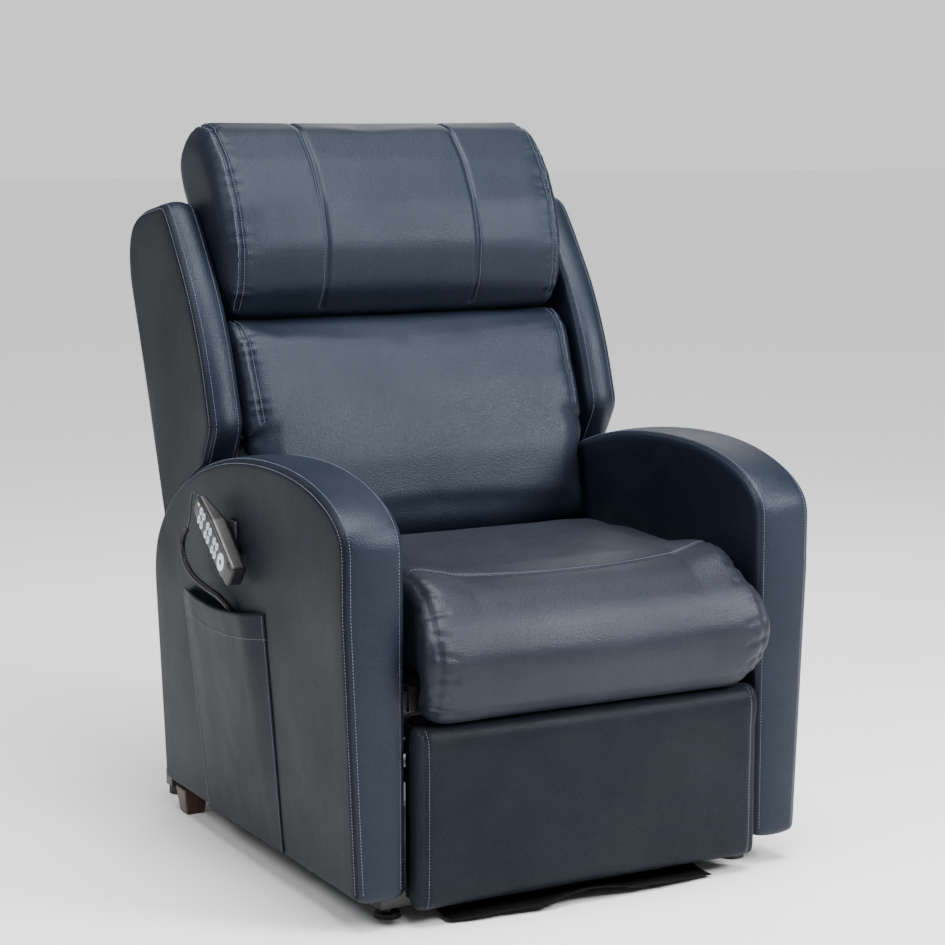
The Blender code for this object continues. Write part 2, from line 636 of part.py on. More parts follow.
# ---------------------------------------------------------------- back
def back_frame():
    """Hinge plates, posts and cross tubes, with the slotted crank of the back actuator."""
    low, high = on_back(-0.20, 0.165), on_back(0.36, 0.165)
    frame = cross_rod("back_frame", low, -0.262, 0.262, 0.011, "steel")
    extra = [cross_rod("back_top_tube", high, -0.262, 0.262, 0.011, cutter=True)]
    for name, side in SIDES:
        x = side * 0.245
        extra.append(rod("back_post_" + name, (x, *low), (x, *high), 0.010, cutter=True, sides=16))
        x0, x1 = lane(side, LANE_HINGE)
        extra.append(plate("back_hinge_" + name, around((HINGE, 0.017), (low, 0.016)), x0, x1, cutter=True))
        extra.append(cross_rod("back_hinge_pin_" + name, HINGE, side * 0.256, side * 0.276, PIN_R, cutter=True))
    extra.append(slotted_crank("back_crank", HINGE, math.radians(-72), 0.0700, 0.0765, 0.0055,
                               BACK_X - 0.003, BACK_X + 0.003))
    extra.append(plate("back_crank_arm", around((HINGE, 0.016), (low, 0.014)), BACK_X - 0.0025, BACK_X + 0.0025,
                       cutter=True))
    return weld(frame, *extra)


def back_panel():
    """Upholstered rear board of the back, between the side bolsters."""
    edge = [on_back(-0.215, WING_DEPTH), on_back(0.300, WING_DEPTH), on_back(0.385, 0.200), on_back(0.412, 0.165),
            on_back(0.418, 0.130), on_back(0.395, 0.130), on_back(0.385, 0.181), on_back(-0.215, 0.181)]
    half = WING_INNER - 0.0005
    panel = plate("back_panel", edge, -half, half, "leather")
    slot = ARM_INNER - 0.002
    trims = []
    for name, side in SIDES:
        x0, x1 = lane(side, (slot, 0.40))
        trims.append(box("panel_trim_" + name, (x0, 0.10, 0.20), (x1, 0.45, ARM_TOP + 0.004), cutter=True))
    return cut(panel, *trims)


def wing(name, side):
    """Side bolster of the back, standing on the line of the arm's rear curve."""
    top = arc((0.075, 0.335), (0.075, 0.085), 2, 1, 2.2, 5)
    rear = arc((0.165, 0.350), (WING_DEPTH - 0.165, 0.070), 1, 0, 2.0, 5)
    upper = [on_back(s, d) for d, s in top] + [on_back(s, d) for d, s in rear]
    over = [p for p in arm_top_line(0.005, 24) if 0.112 < p[0] < 0.296]
    lower = [on_back(-0.075, WING_DEPTH), *over, on_back(0.012, 0.0)]
    thing = plate("wing_" + name, upper + lower, side * WING_INNER, side * WING_OUTER, "leather")
    return soften(thing, 0.010, 2, 60)


def lumbar_cushion():
    """Lower back cushion; it narrows where it passes between the arms."""
    outline = [on_back(-0.178, 0.020), on_back(-0.150, -0.006), on_back(-0.05, -0.022), on_back(0.06, -0.026),
               on_back(0.150, -0.018), on_back(0.188, 0.004), on_back(0.196, 0.040), on_back(0.190, 0.150),
               on_back(-0.178, 0.150)]
    half = WING_INNER - 0.0015
    cushion = plate("lumbar_cushion", outline, -half, half, "leather")
    trims = []
    for name, side in SIDES:
        x0, x1 = lane(side, (ARM_INNER - 0.0035, 0.40))
        trims.append(box("lumbar_trim_" + name, (x0, -0.10, 0.20), (x1, 0.45, ARM_TOP + 0.002), cutter=True))
    return soften(cut(cushion, *trims), 0.010, 2, 60)


def headrest_cushion():
    """Pillow-like head cushion that overhangs the lumbar cushion and tops the back."""
    outline = [on_back(0.200, 0.012), on_back(0.225, -0.026), on_back(0.280, -0.052), on_back(0.350, -0.058),
               on_back(0.420, -0.046), on_back(0.480, -0.018), on_back(0.508, 0.020), on_back(0.514, 0.070),
               on_back(0.492, 0.115), on_back(0.440, 0.128), on_back(0.380, 0.125), on_back(0.380, 0.150),
               on_back(0.200, 0.150)]
    half = WING_INNER - 0.0015
    return soften(plate("headrest_cushion", outline, -half, half, "leather"), 0.014, 2, 60)


# ---------------------------------------------------------------- handset and its cord
def handset_frame():
    """Handset axes: X out of the keypad, Y across, Z from its lower end to its upper end."""
    up = Vector((0, math.cos(HANDSET_ANGLE), math.sin(HANDSET_ANGLE)))
    out = Vector((-1, 0, 0))
    across = up.cross(out)
    turn = Matrix((out, across, up)).transposed().to_4x4()
    return Matrix.Translation(HANDSET_END) @ turn


def place_on_handset(thing):
    thing.matrix_world = handset_frame() @ thing.matrix_world
    return thing


def handset_body():
    """Wedge-shaped remote, thin at its upper end, with wells for the keys."""
    half = HANDSET_WIDTH / 2
    body = box("handset_body", (0.0, -half, 0.0), (HANDSET_THICK, half, HANDSET_LENGTH), "plastic")
    shape = bmesh.new()
    shape.from_mesh(body.data)
    bmesh.ops.bisect_plane(shape, geom=[*shape.verts, *shape.edges, *shape.faces],
                           plane_co=(0, 0, HANDSET_LENGTH * 0.62), plane_no=(0, 0, 1))
    for point in shape.verts:
        if point.co.z > HANDSET_LENGTH * 0.9:
            point.co.y *= 0.72
            if point.co.x < 0.01:
                point.co.x = 0.013
        elif point.co.z < 0.01:
            point.co.y *= 0.80
    shape.to_mesh(body.data)
    shape.free()
    soften(body, 0.006, 3)
    place_on_handset(body)
    wells = [key_shape("well_" + name, at, size, KEY_LOW - 0.0020, 0.032, 0.0004, cutter=True)
             for name, at, size in KEYS]
    return cut(body, *wells)


KEY_ROWS = (0.1290, 0.1175, 0.0985, 0.0870, 0.0680, 0.0565)     # up the handset from its lower end
KEYS = [(f"button_{'left' if side > 0 else 'right'}_{i + 1}", (side * 0.0085, row), (0.0072, 0.0046))
        for i, row in enumerate(KEY_ROWS) for side in (1, -1)]
KEYS.append(("button_home", (0.0, 0.0340), (0.0150, 0.0115)))


def key_shape(name, at, size, low, high, grow=0.0, finish=None, cutter=False):
    """An oval key; at and size are across and along the handset."""
    mesh = bpy.data.meshes.new(name)
    shape = bmesh.new()
    oval = Matrix.Diagonal((size[0] + grow, size[1] + grow, 1, 1))
    # The cone's own Z becomes the handset's X, out of the keypad.
    turn = Matrix(((0, 0, 1, (low + high) / 2), (1, 0, 0, at[0]), (0, 1, 0, at[1]), (0, 0, 0, 1)))
    bmesh.ops.create_cone(shape, cap_ends=True, segments=20, radius1=1.0, radius2=1.0, depth=high - low,
                          matrix=turn @ oval)
    shape.to_mesh(mesh)
    shape.free()
    return place_on_handset(add_mesh(name, mesh, finish, cutter))


def keys():
    for name, at, size in KEYS:
        key_shape(name, at, size, KEY_LOW, KEY_HIGH, finish="key")


def handset_clip():
    """Holder on the arm's side: a plate with a hook that the handset hangs from."""
    face = -HALF_WIDTH - GAP
    return box("handset_clip", (face - 0.0050, -0.062, 0.468), (face, -0.022, 0.520), "plastic", bevel=0.002)


LEAD = [(-0.4030, 0.0284, 0.5400), (-0.4035, 0.0400, 0.5490), (-0.4045, 0.0530, 0.5480), (-0.4050, 0.0610, 0.5330),
        (-0.4050, 0.0650, 0.5120), (-0.4045, 0.0780, 0.4920)]
COIL = [(-0.4045, 0.0780, 0.4920), (-0.4040, 0.0960, 0.4780), (-0.4030, 0.1050, 0.4580), (-0.4010, 0.0960, 0.4340),
        (-0.3985, 0.0720, 0.4180), (-0.3950, 0.0350, 0.4080), (-0.3905, -0.0080, 0.4000),
        (-0.3868, -0.0380, 0.3860), (-0.3855, -0.0480, 0.3600), (-0.3845, -0.0480, 0.3300)]


def cord():
    """The straight lead out of the handset, and the curly part as one tube of its outer size."""
    tube("handset_lead", smooth_curve(LEAD, 26)[:-1], 0.0017, "plastic")
    tube("handset_curl", smooth_curve(COIL, 44), 0.0046, "plastic")


# ---------------------------------------------------------------- the chair
def chair():
    base_frame()
    dust_cover()
    lift_frame()
    lift_motor()
    lift_rod()
    seat_frame()
    seat_deck()
    seat_cushion()
    rear_panel()
    control_box()
    level_motor("footrest_motor", FOOT_X, FOOT_ROD_Z, FOOT_PIN_Y, -1, 0.043, (-0.054, -0.034, 0.294))
    level_rod("footrest_rod", FOOT_X, FOOT_ROD_Z, FOOT_PIN_Y, -1, 0.195, (0.0045, 0.0095))
    level_motor("back_motor", BACK_X, BACK_ROD_Z, BACK_PIN_Y, 1, 0.088, (-0.058, -0.036, BACK_ROD_Z + 0.0165))
    level_rod("back_rod", BACK_X, BACK_ROD_Z, BACK_PIN_Y, 1, 0.150, (0.0045, 0.0095))
    footrest_drive()
    footrest_board()
    footrest_cushion()
    back_frame()
    back_panel()
    lumbar_cushion()
    headrest_cushion()
    side_pocket()
    handset_clip()
    handset_body()
    keys()
    cord()
    for name, side in SIDES:
        for make in (levelling_foot, rear_foot, front_link, arm, rear_leg, link_b, link_c, link_d,
                     footrest_bracket, wing):
            make(name, side)


clear_scene()
PARTS = collection("lift_recliner_chair")
CUTTERS = collection("cutters")
chair()
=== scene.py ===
"""Looks of the powered lift recliner: padded leather, stitching, handset and mechanism."""

import json
import math

import bmesh
import bpy
import numpy as np
from mathutils import Matrix, Vector, noise
from mathutils.bvhtree import BVHTree
from mathutils.kdtree import KDTree

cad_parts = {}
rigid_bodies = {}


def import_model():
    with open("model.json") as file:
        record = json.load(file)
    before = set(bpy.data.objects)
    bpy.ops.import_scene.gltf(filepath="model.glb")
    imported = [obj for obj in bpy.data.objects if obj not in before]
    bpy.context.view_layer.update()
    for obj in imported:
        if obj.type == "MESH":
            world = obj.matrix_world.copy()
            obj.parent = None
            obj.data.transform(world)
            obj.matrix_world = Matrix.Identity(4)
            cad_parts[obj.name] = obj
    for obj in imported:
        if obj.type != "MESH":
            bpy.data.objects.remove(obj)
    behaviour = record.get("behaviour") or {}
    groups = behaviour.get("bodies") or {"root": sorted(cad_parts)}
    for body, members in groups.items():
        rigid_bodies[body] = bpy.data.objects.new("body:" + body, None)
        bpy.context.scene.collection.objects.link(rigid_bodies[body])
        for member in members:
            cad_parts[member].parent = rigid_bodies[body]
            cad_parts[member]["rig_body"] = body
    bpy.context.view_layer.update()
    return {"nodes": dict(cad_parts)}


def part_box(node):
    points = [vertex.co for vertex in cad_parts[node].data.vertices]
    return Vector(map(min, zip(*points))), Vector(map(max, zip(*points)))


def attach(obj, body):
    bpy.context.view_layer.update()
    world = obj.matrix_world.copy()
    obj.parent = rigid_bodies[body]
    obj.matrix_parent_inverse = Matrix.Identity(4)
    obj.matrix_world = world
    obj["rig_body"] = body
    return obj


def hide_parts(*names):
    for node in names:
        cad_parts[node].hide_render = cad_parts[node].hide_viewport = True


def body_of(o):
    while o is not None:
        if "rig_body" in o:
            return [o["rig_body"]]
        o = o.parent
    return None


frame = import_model()

SIDES = (("left", 1), ("right", -1))

# ---------------------------------------------------------------- sizes shared with the CAD, in metres
HALF_WIDTH, ARM_INNER = 0.380, 0.287
ARM_FRONT, ARM_REAR, ARM_TOP, ARM_TOP_Y, ARM_BOTTOM = -0.419, 0.300, 0.619, -0.170, 0.0428
ARM_FRONT_STRAIGHT, ARM_REAR_STRAIGHT = 0.526, 0.371
ARM_TAPER, ARM_TAPER_FROM = 0.016, 0.440
BACK_TILT = math.radians(20)
BACK_ORIGIN = (0.106, 0.615)
WING_INNER, WING_OUTER, WING_DEPTH = 0.304, 0.3605, 0.226
HANDSET_END = Vector((-0.3860, -0.0980, 0.4440))
HANDSET_ANGLE = math.radians(37.2)

# The handset's cord, straight at first and then curled, down into the pocket.
LEAD = [(-0.4030, 0.0284, 0.5400), (-0.4035, 0.0400, 0.5490), (-0.4045, 0.0530, 0.5480),
        (-0.4050, 0.0610, 0.5330), (-0.4050, 0.0650, 0.5120), (-0.4045, 0.0780, 0.4920)]
COIL = [(-0.4045, 0.0780, 0.4920), (-0.4040, 0.0960, 0.4780), (-0.4030, 0.1050, 0.4580),
        (-0.4010, 0.0960, 0.4340), (-0.3985, 0.0720, 0.4180), (-0.3950, 0.0350, 0.4080),
        (-0.3905, -0.0080, 0.4000), (-0.3868, -0.0380, 0.3860), (-0.3855, -0.0480, 0.3600),
        (-0.3845, -0.0480, 0.3300)]
WIRE, COIL_RADIUS, COIL_PITCH = 0.0025, 0.0034, 0.0037


def on_back(s, d):
    """The (y, z) of a point s up the back and d behind its front plane."""
    return (BACK_ORIGIN[0] + s * math.sin(BACK_TILT) + d * math.cos(BACK_TILT),
            BACK_ORIGIN[1] + s * math.cos(BACK_TILT) - d * math.sin(BACK_TILT))


def arc(centre, reach, start, end, power, count):
    """Points on a superellipse quarter, angles in quarter turns."""
    made = []
    for i in range(count + 1):
        t = (start + (end - start) * i / count) * math.pi / 2
        c, s = math.cos(t), math.sin(t)
        made.append((centre[0] + reach[0] * math.copysign(abs(c) ** (2 / power), c),
                     centre[1] + reach[1] * math.copysign(abs(s) ** (2 / power), s)))
    return made


def arm_top_line(grow=0.0, count=12):
    """The arm's outline over the top, from the rear forwards."""
    rear_reach = (ARM_REAR - ARM_TOP_Y + grow, ARM_TOP - ARM_REAR_STRAIGHT + grow)
    front_reach = (ARM_TOP_Y - ARM_FRONT + grow, ARM_TOP - ARM_FRONT_STRAIGHT + grow)
    rear = arc((ARM_TOP_Y, ARM_REAR_STRAIGHT), rear_reach, 0, 1, 2.06, count)
    front = arc((ARM_TOP_Y, ARM_FRONT_STRAIGHT), front_reach, 1, 2, 2.1, count)
    return rear + front[1:]


def arm_outer(z):
    """How far from the centre plane an arm's outer face is at height z."""
    return HALF_WIDTH - ARM_TAPER * max(0.0, ARM_TAPER_FROM - z) / (ARM_TAPER_FROM - ARM_BOTTOM)


def smooth_curve(points, count):
    """Points spread along a Catmull-Rom curve through a few given ones."""
    points = [Vector(p) for p in points]
    ends = [points[0] * 2 - points[1], *points, points[-1] * 2 - points[-2]]
    made, spans = [], len(points) - 1
    for i in range(count):
        t = i / (count - 1) * spans
        k = min(int(t), spans - 1)
        t -= k
        a, b, c, d = ends[k:k + 4]
        made.append(0.5 * (2 * b + (c - a) * t + (2 * a - 5 * b + 4 * c - d) * t * t
                           + (3 * b - a - 3 * c + d) * t ** 3))
    return made


def spread(points, spacing, closed=False):
    """The same line with evenly spaced points."""
    points = [Vector(p) for p in points]
    if closed:
        points.append(points[0])
    steps = [(b - a).length for a, b in zip(points, points[1:])]
    count = max(2, round(sum(steps) / spacing))
    made, k, done = [], 0, 0.0
    for i in range(count if closed else count + 1):
        at = sum(steps) * i / count
        while k < len(steps) - 1 and done + steps[k] < at:
            done += steps[k]
            k += 1
        made.append(points[k].lerp(points[k + 1], min(1.0, (at - done) / max(steps[k], 1e-9))))
    return made


# ---------------------------------------------------------------- materials
def shader(name, roughness=0.5, metallic=0.0, **inputs):
    """A new material; gives it, its node tree and its Principled BSDF."""
    made = bpy.data.materials.new(name)
    made.use_nodes = True
    tree = made.node_tree
    bsdf = tree.nodes["Principled BSDF"]
    bsdf.inputs["Roughness"].default_value = roughness
    bsdf.inputs["Metallic"].default_value = metallic
    for key, value in inputs.items():
        bsdf.inputs[key.replace("_", " ")].default_value = value
    return made, tree, bsdf


def add_node(tree, kind, **values):
    """A node with its inputs, or its settings, given by name."""
    node = tree.nodes.new(kind)
    for key, value in values.items():
        if key in node.inputs:
            node.inputs[key].default_value = value
        else:
            setattr(node, key, value)
    return node


def coordinates(tree):
    return tree.nodes.new("ShaderNodeTexCoord").outputs["Object"]


def noise_of(tree, at, scale, detail=3.0, roughness=0.55):
    node = add_node(tree, "ShaderNodeTexNoise", Scale=scale, Detail=detail, Roughness=roughness)
    tree.links.new(at, node.inputs["Vector"])
    return node.outputs["Fac"]


def ramp(tree, value, stops):
    node = tree.nodes.new("ShaderNodeValToRGB")
    elements = node.color_ramp.elements
    while len(elements) < len(stops):
        elements.new(0.5)
    for element, (place, colour) in zip(elements, stops):
        element.position = place
        element.color = (*colour, 1.0) if len(colour) == 3 else colour
    tree.links.new(value, node.inputs["Fac"])
    return node.outputs["Color"]


def remap(tree, value, low, high, out_low, out_high):
    node = tree.nodes.new("ShaderNodeMapRange")
    for key, number in (("From Min", low), ("From Max", high), ("To Min", out_low), ("To Max", out_high)):
        node.inputs[key].default_value = number
    tree.links.new(value, node.inputs["Value"])
    return node.outputs["Result"]


def bump(tree, bsdf, layers):
    """Chained bumps; layers are (height, strength, distance in metres)."""
    previous = None
    for height, strength, distance in layers:
        node = add_node(tree, "ShaderNodeBump", Strength=strength, Distance=distance)
        tree.links.new(height, node.inputs["Height"])
        if previous:
            tree.links.new(previous, node.inputs["Normal"])
        previous = node.outputs["Normal"]
    tree.links.new(previous, bsdf.inputs["Normal"])


def leather(name, deep, pale, balance=0.5, gloss=0.30):
    """Semi-gloss bonded leather: cloudy two-tone colour, pebble grain and fine wrinkles."""
    made, tree, bsdf = shader(name, 0.42)
    bsdf.inputs["Specular IOR Level"].default_value = gloss
    bsdf.inputs["Specular Tint"].default_value = (0.80, 0.88, 1.0, 1.0)
    at = coordinates(tree)
    cloud = noise_of(tree, at, 4.5, 8.0, 0.72)
    colour = ramp(tree, cloud, [(balance - 0.18, deep), (balance + 0.22, pale)])
    speck = noise_of(tree, at, 260.0, 3.0)
    mix = add_node(tree, "ShaderNodeMix", data_type="RGBA", blend_type="MULTIPLY")
    mix.inputs[0].default_value = 0.85
    tree.links.new(colour, mix.inputs[6])
    tree.links.new(ramp(tree, speck, [(0.3, (0.66, 0.66, 0.67)), (0.7, (1.0, 1.0, 1.0))]), mix.inputs[7])
    tree.links.new(mix.outputs[2], bsdf.inputs["Base Color"])
    tree.links.new(remap(tree, noise_of(tree, at, 6.0, 4.0), 0.3, 0.7, 0.34, 0.47), bsdf.inputs["Roughness"])
    pebble = add_node(tree, "ShaderNodeTexVoronoi", Scale=520.0)
    tree.links.new(at, pebble.inputs["Vector"])
    bump(tree, bsdf, [(noise_of(tree, at, 34.0, 4.0), 0.20, 0.0016),
                      (pebble.outputs["Distance"], 0.55, 0.0006),
                      (noise_of(tree, at, 1500.0, 2.0), 0.20, 0.0002)])
    return made


def plain(name, colour, roughness, metallic=0.0, grain=600.0, depth=0.0002, strength=0.2, tone=0.25,
          **inputs):
    """Moulded plastic, paint or metal with a slight unevenness of colour, gloss and surface."""
    made, tree, bsdf = shader(name, roughness, metallic, **inputs)
    at = coordinates(tree)
    cloud = noise_of(tree, at, 11.0, 5.0)
    darker = tuple(c * (1 - tone) for c in colour)
    lighter = tuple(min(1.0, c * (1 + tone)) for c in colour)
    tree.links.new(ramp(tree, cloud, [(0.3, darker), (0.7, lighter)]), bsdf.inputs["Base Color"])
    tree.links.new(remap(tree, noise_of(tree, at, 45.0), 0.3, 0.7, roughness * 0.85, roughness * 1.15),
                   bsdf.inputs["Roughness"])
    bump(tree, bsdf, [(noise_of(tree, at, grain, 2.0), strength, depth)])
    return made


def timber(name, deep, pale, roughness, stretch=(14.0, 14.0, 1.6)):
    """Wood with grain along Z, or along the axis with the smallest stretch."""
    made, tree, bsdf = shader(name, roughness)
    mapping = tree.nodes.new("ShaderNodeMapping")
    mapping.inputs["Scale"].default_value = stretch
    tree.links.new(coordinates(tree), mapping.inputs["Vector"])
    grain = noise_of(tree, mapping.outputs["Vector"], 9.0, 8.0, 0.7)
    tree.links.new(ramp(tree, grain, [(0.34, deep), (0.66, pale)]), bsdf.inputs["Base Color"])
    bump(tree, bsdf, [(grain, 0.25, 0.0006)])
    return made


def woven(name, colour, scale=900.0):
    """Plain black lining cloth, its threads crossing along X and Y."""
    made, tree, bsdf = shader(name, 0.9, Specular_IOR_Level=0.15)
    at = coordinates(tree)
    waves = []
    for direction in ("X", "Y"):
        wave = add_node(tree, "ShaderNodeTexWave", Scale=scale, bands_direction=direction)
        tree.links.new(at, wave.inputs["Vector"])
        waves.append(wave.outputs["Fac"])
    lighter = tuple(c * 1.8 for c in colour)
    uneven = ramp(tree, noise_of(tree, at, 25.0), [(0.3, colour), (0.7, lighter)])
    tree.links.new(uneven, bsdf.inputs["Base Color"])
    bump(tree, bsdf, [(waves[0], 0.4, 0.0003), (waves[1], 0.4, 0.0003),
                      (noise_of(tree, at, 40.0), 0.3, 0.002)])
    return made


NAVY = leather("navy_leather", (0.0048, 0.0082, 0.0160), (0.0130, 0.0170, 0.0272), gloss=0.22)
# A darker, greyer copy of the navy leather: painted shade for the side and front faces that turn away from
# the lamps.
NAVY_PAINTED_SHADE = leather("navy_leather_painted_shade", (0.0068, 0.0088, 0.0130), (0.0150, 0.0172, 0.0220), 0.46, 0.08)
# A paler copy of the navy leather: painted light on the seat's lit top.
NAVY_PAINTED_LIGHT = leather("navy_leather_painted_light", (0.0068, 0.0090, 0.0150), (0.0185, 0.0208, 0.0285), 0.45, 0.22)
THREAD = plain("thread", (0.105, 0.125, 0.175), 0.75, grain=3000.0)
STEEL = plain("black_steel", (0.010, 0.010, 0.011), 0.42, 0.0, grain=900.0, Coat_Weight=0.25)
DARK = plain("black_links", (0.012, 0.012, 0.013), 0.5, grain=900.0)
ZINC = plain("zinc_plated_steel", (0.46, 0.47, 0.49), 0.36, 1.0, tone=0.12)
BLACK = plain("black_plastic", (0.010, 0.010, 0.012), 0.38, grain=1600.0)
RUBBER = plain("cord_rubber", (0.008, 0.008, 0.010), 0.30, grain=1200.0)
PAD = plain("keypad_grey", (0.048, 0.050, 0.056), 0.45, grain=1800.0)
KEY = plain("key_white", (0.62, 0.64, 0.70), 0.42, tone=0.06)
MARK = plain("key_mark", (0.045, 0.050, 0.075), 0.6)
LAMP = plain("lamp_green", (0.42, 0.62, 0.05), 0.3, Emission_Strength=0.4)
WALNUT = timber("walnut_stain", (0.018, 0.0075, 0.0055), (0.070, 0.026, 0.017), 0.42)
FELT = woven("board_lining", (0.0040, 0.0040, 0.0045), 500.0)
LINING = woven("lining_cloth", (0.0035, 0.0035, 0.0040))
GLIDE = plain("foot_plastic", (0.014, 0.014, 0.015), 0.5, grain=1400.0)


# ---------------------------------------------------------------- camera, lights and floor
def look_from(kind, name, at, towards, **settings):
    """A camera or a light that looks from one point towards another."""
    data = bpy.data.cameras.new(name) if kind == "CAMERA" else bpy.data.lights.new(name, kind)
    for key, value in settings.items():
        setattr(data, key, value)
    thing = bpy.data.objects.new(name, data)
    bpy.context.scene.collection.objects.link(thing)
    thing.location = at
    thing.rotation_mode = "QUATERNION"
    thing.rotation_quaternion = (Vector(towards) - Vector(at)).to_track_quat("-Z", "Y")
    return thing


CAMERA_AT = Vector((-1.69447, -3.21921, 1.09740))
CAMERA_LOOK = Vector((0.46908, 0.87086, -0.14685))
CAMERA_LENS, CAMERA_SENSOR = 90.46, 36.0
SOFTBOXES = (                                                     # name, place, side in metres, watts
    ("key", (1.5, -2.2, 1.9), 1.0, 125),
    ("left", (-2.4, -0.4, 2.6), 1.2, 50),
    ("top", (0.2, -1.0, 3.0), 1.5, 105),
    ("rim", (1.6, 2.2, 2.2), 1.5, 15),
)
SOFTBOX_TARGET = (0.0, -0.05, 0.55)
OVERHEAD, OVERHEAD_ANGLE = 3.0, 0.6
SKY_LIGHT, SKY_SEEN = 0.24, 1.3
FLOOR_HALF, FLOOR_DROP = 40, 0.0005


def studio():
    bpy.context.scene.camera = look_from("CAMERA", "camera", CAMERA_AT, CAMERA_AT + CAMERA_LOOK,
                                         lens=CAMERA_LENS, sensor_width=CAMERA_SENSOR, clip_start=0.1,
                                         clip_end=60.0)
    for name, place, size, watts in SOFTBOXES:
        look_from("AREA", name, place, SOFTBOX_TARGET, energy=watts, size=size, shape="SQUARE")
    look_from("SUN", "overhead", (0, 0, 5), (0, 0.4, 0), energy=OVERHEAD, angle=OVERHEAD_ANGLE)
    world = bpy.data.worlds.new("studio")
    world.use_nodes = True
    nodes, links = world.node_tree.nodes, world.node_tree.links
    nodes["Background"].inputs["Color"].default_value = (1.0, 1.0, 1.0, 1.0)
    nodes["Background"].inputs["Strength"].default_value = SKY_LIGHT
    seen = nodes.new("ShaderNodeBackground")
    seen.inputs["Strength"].default_value = SKY_SEEN
    ray = nodes.new("ShaderNodeLightPath")
    both = nodes.new("ShaderNodeMixShader")
    links.new(ray.outputs["Is Camera Ray"], both.inputs[0])
    links.new(nodes["Background"].outputs[0], both.inputs[1])
    links.new(seen.outputs[0], both.inputs[2])
    links.new(both.outputs[0], nodes["World Output"].inputs["Surface"])
    bpy.context.scene.world = world
    mesh = bpy.data.meshes.new("floor")
    far = FLOOR_HALF
    mesh.from_pydata([(-far, -far, 0), (far, -far, 0), (far, far, 0), (-far, far, 0)], [], [(0, 1, 2, 3)])
    floor = bpy.data.objects.new("floor", mesh)
    bpy.context.scene.collection.objects.link(floor)
    pale, _, bsdf = shader("floor_white", 0.6)
    bsdf.inputs["Base Color"].default_value = (0.88, 0.88, 0.88, 1.0)
    bsdf.inputs["Specular IOR Level"].default_value = 0.2
    mesh.materials.append(pale)
    floor.location.z = -FLOOR_DROP


# ---------------------------------------------------------------- making pieces
def piece(name, mesh, material, body, smooth=True):
    """A new object on a body, with its material."""
    thing = bpy.data.objects.new(name, mesh)
    bpy.context.scene.collection.objects.link(thing)
    mesh.materials.clear()
    mesh.materials.append(material)
    if smooth:
        mesh.shade_smooth()
    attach(thing, body)
    return thing


def mesh_of(name, shape):
    bmesh.ops.recalc_face_normals(shape, faces=shape.faces)
    mesh = bpy.data.meshes.new(name)
    shape.to_mesh(mesh)
    shape.free()
    return mesh


def bake_modifiers(thing):
    """Replaces a piece's mesh by what its modifiers make of it."""
    bpy.context.view_layer.update()
    graph = bpy.context.evaluated_depsgraph_get()
    mesh = bpy.data.meshes.new_from_object(thing.evaluated_get(graph))
    mesh.name = thing.name
    thing.modifiers.clear()
    thing.data = mesh
    return thing


def get_points(mesh):
    flat = np.empty(len(mesh.vertices) * 3, dtype=np.float32)
    mesh.vertices.foreach_get("co", flat)
    return flat.reshape(-1, 3)


def get_normals(mesh):
    flat = np.empty(len(mesh.vertices) * 3, dtype=np.float32)
    mesh.vertices.foreach_get("normal", flat)
    return flat.reshape(-1, 3)


def set_points(mesh, points):
    mesh.vertices.foreach_set("co", np.ascontiguousarray(points, dtype=np.float32).ravel())
    mesh.update()


def relax(mesh, points, passes, amount=0.5):
    """Laplacian smoothing of points, on the mesh's edges."""
    pairs = np.empty(len(mesh.edges) * 2, dtype=np.int32)
    mesh.edges.foreach_get("vertices", pairs)
    a, b = pairs.reshape(-1, 2).T
    degree = np.bincount(np.concatenate((a, b)), minlength=len(points)).astype(float)[:, None]
    for _ in range(passes):
        total = np.zeros_like(points, dtype=float)
        np.add.at(total, a, points[b])
        np.add.at(total, b, points[a])
        points = points + amount * (total / np.maximum(degree, 1) - points)
    return points


def surface_of(mesh):
    """A mesh's surface, to look up the nearest point on it."""
    return BVHTree.FromPolygons([v.co.copy() for v in mesh.vertices],
                                [tuple(p.vertices) for p in mesh.polygons])


def settle(points, tree, inside, outside):
    """The points, each brought to within a distance of a surface."""
    made = points.copy()
    for i, point in enumerate(points):
        at, normal, _, distance = tree.find_nearest(Vector(point))
        offset = Vector(point) - at
        most = outside if offset.dot(normal) > 0 else inside
        if distance > most:
            made[i] = at + offset * (most / distance)
    return made


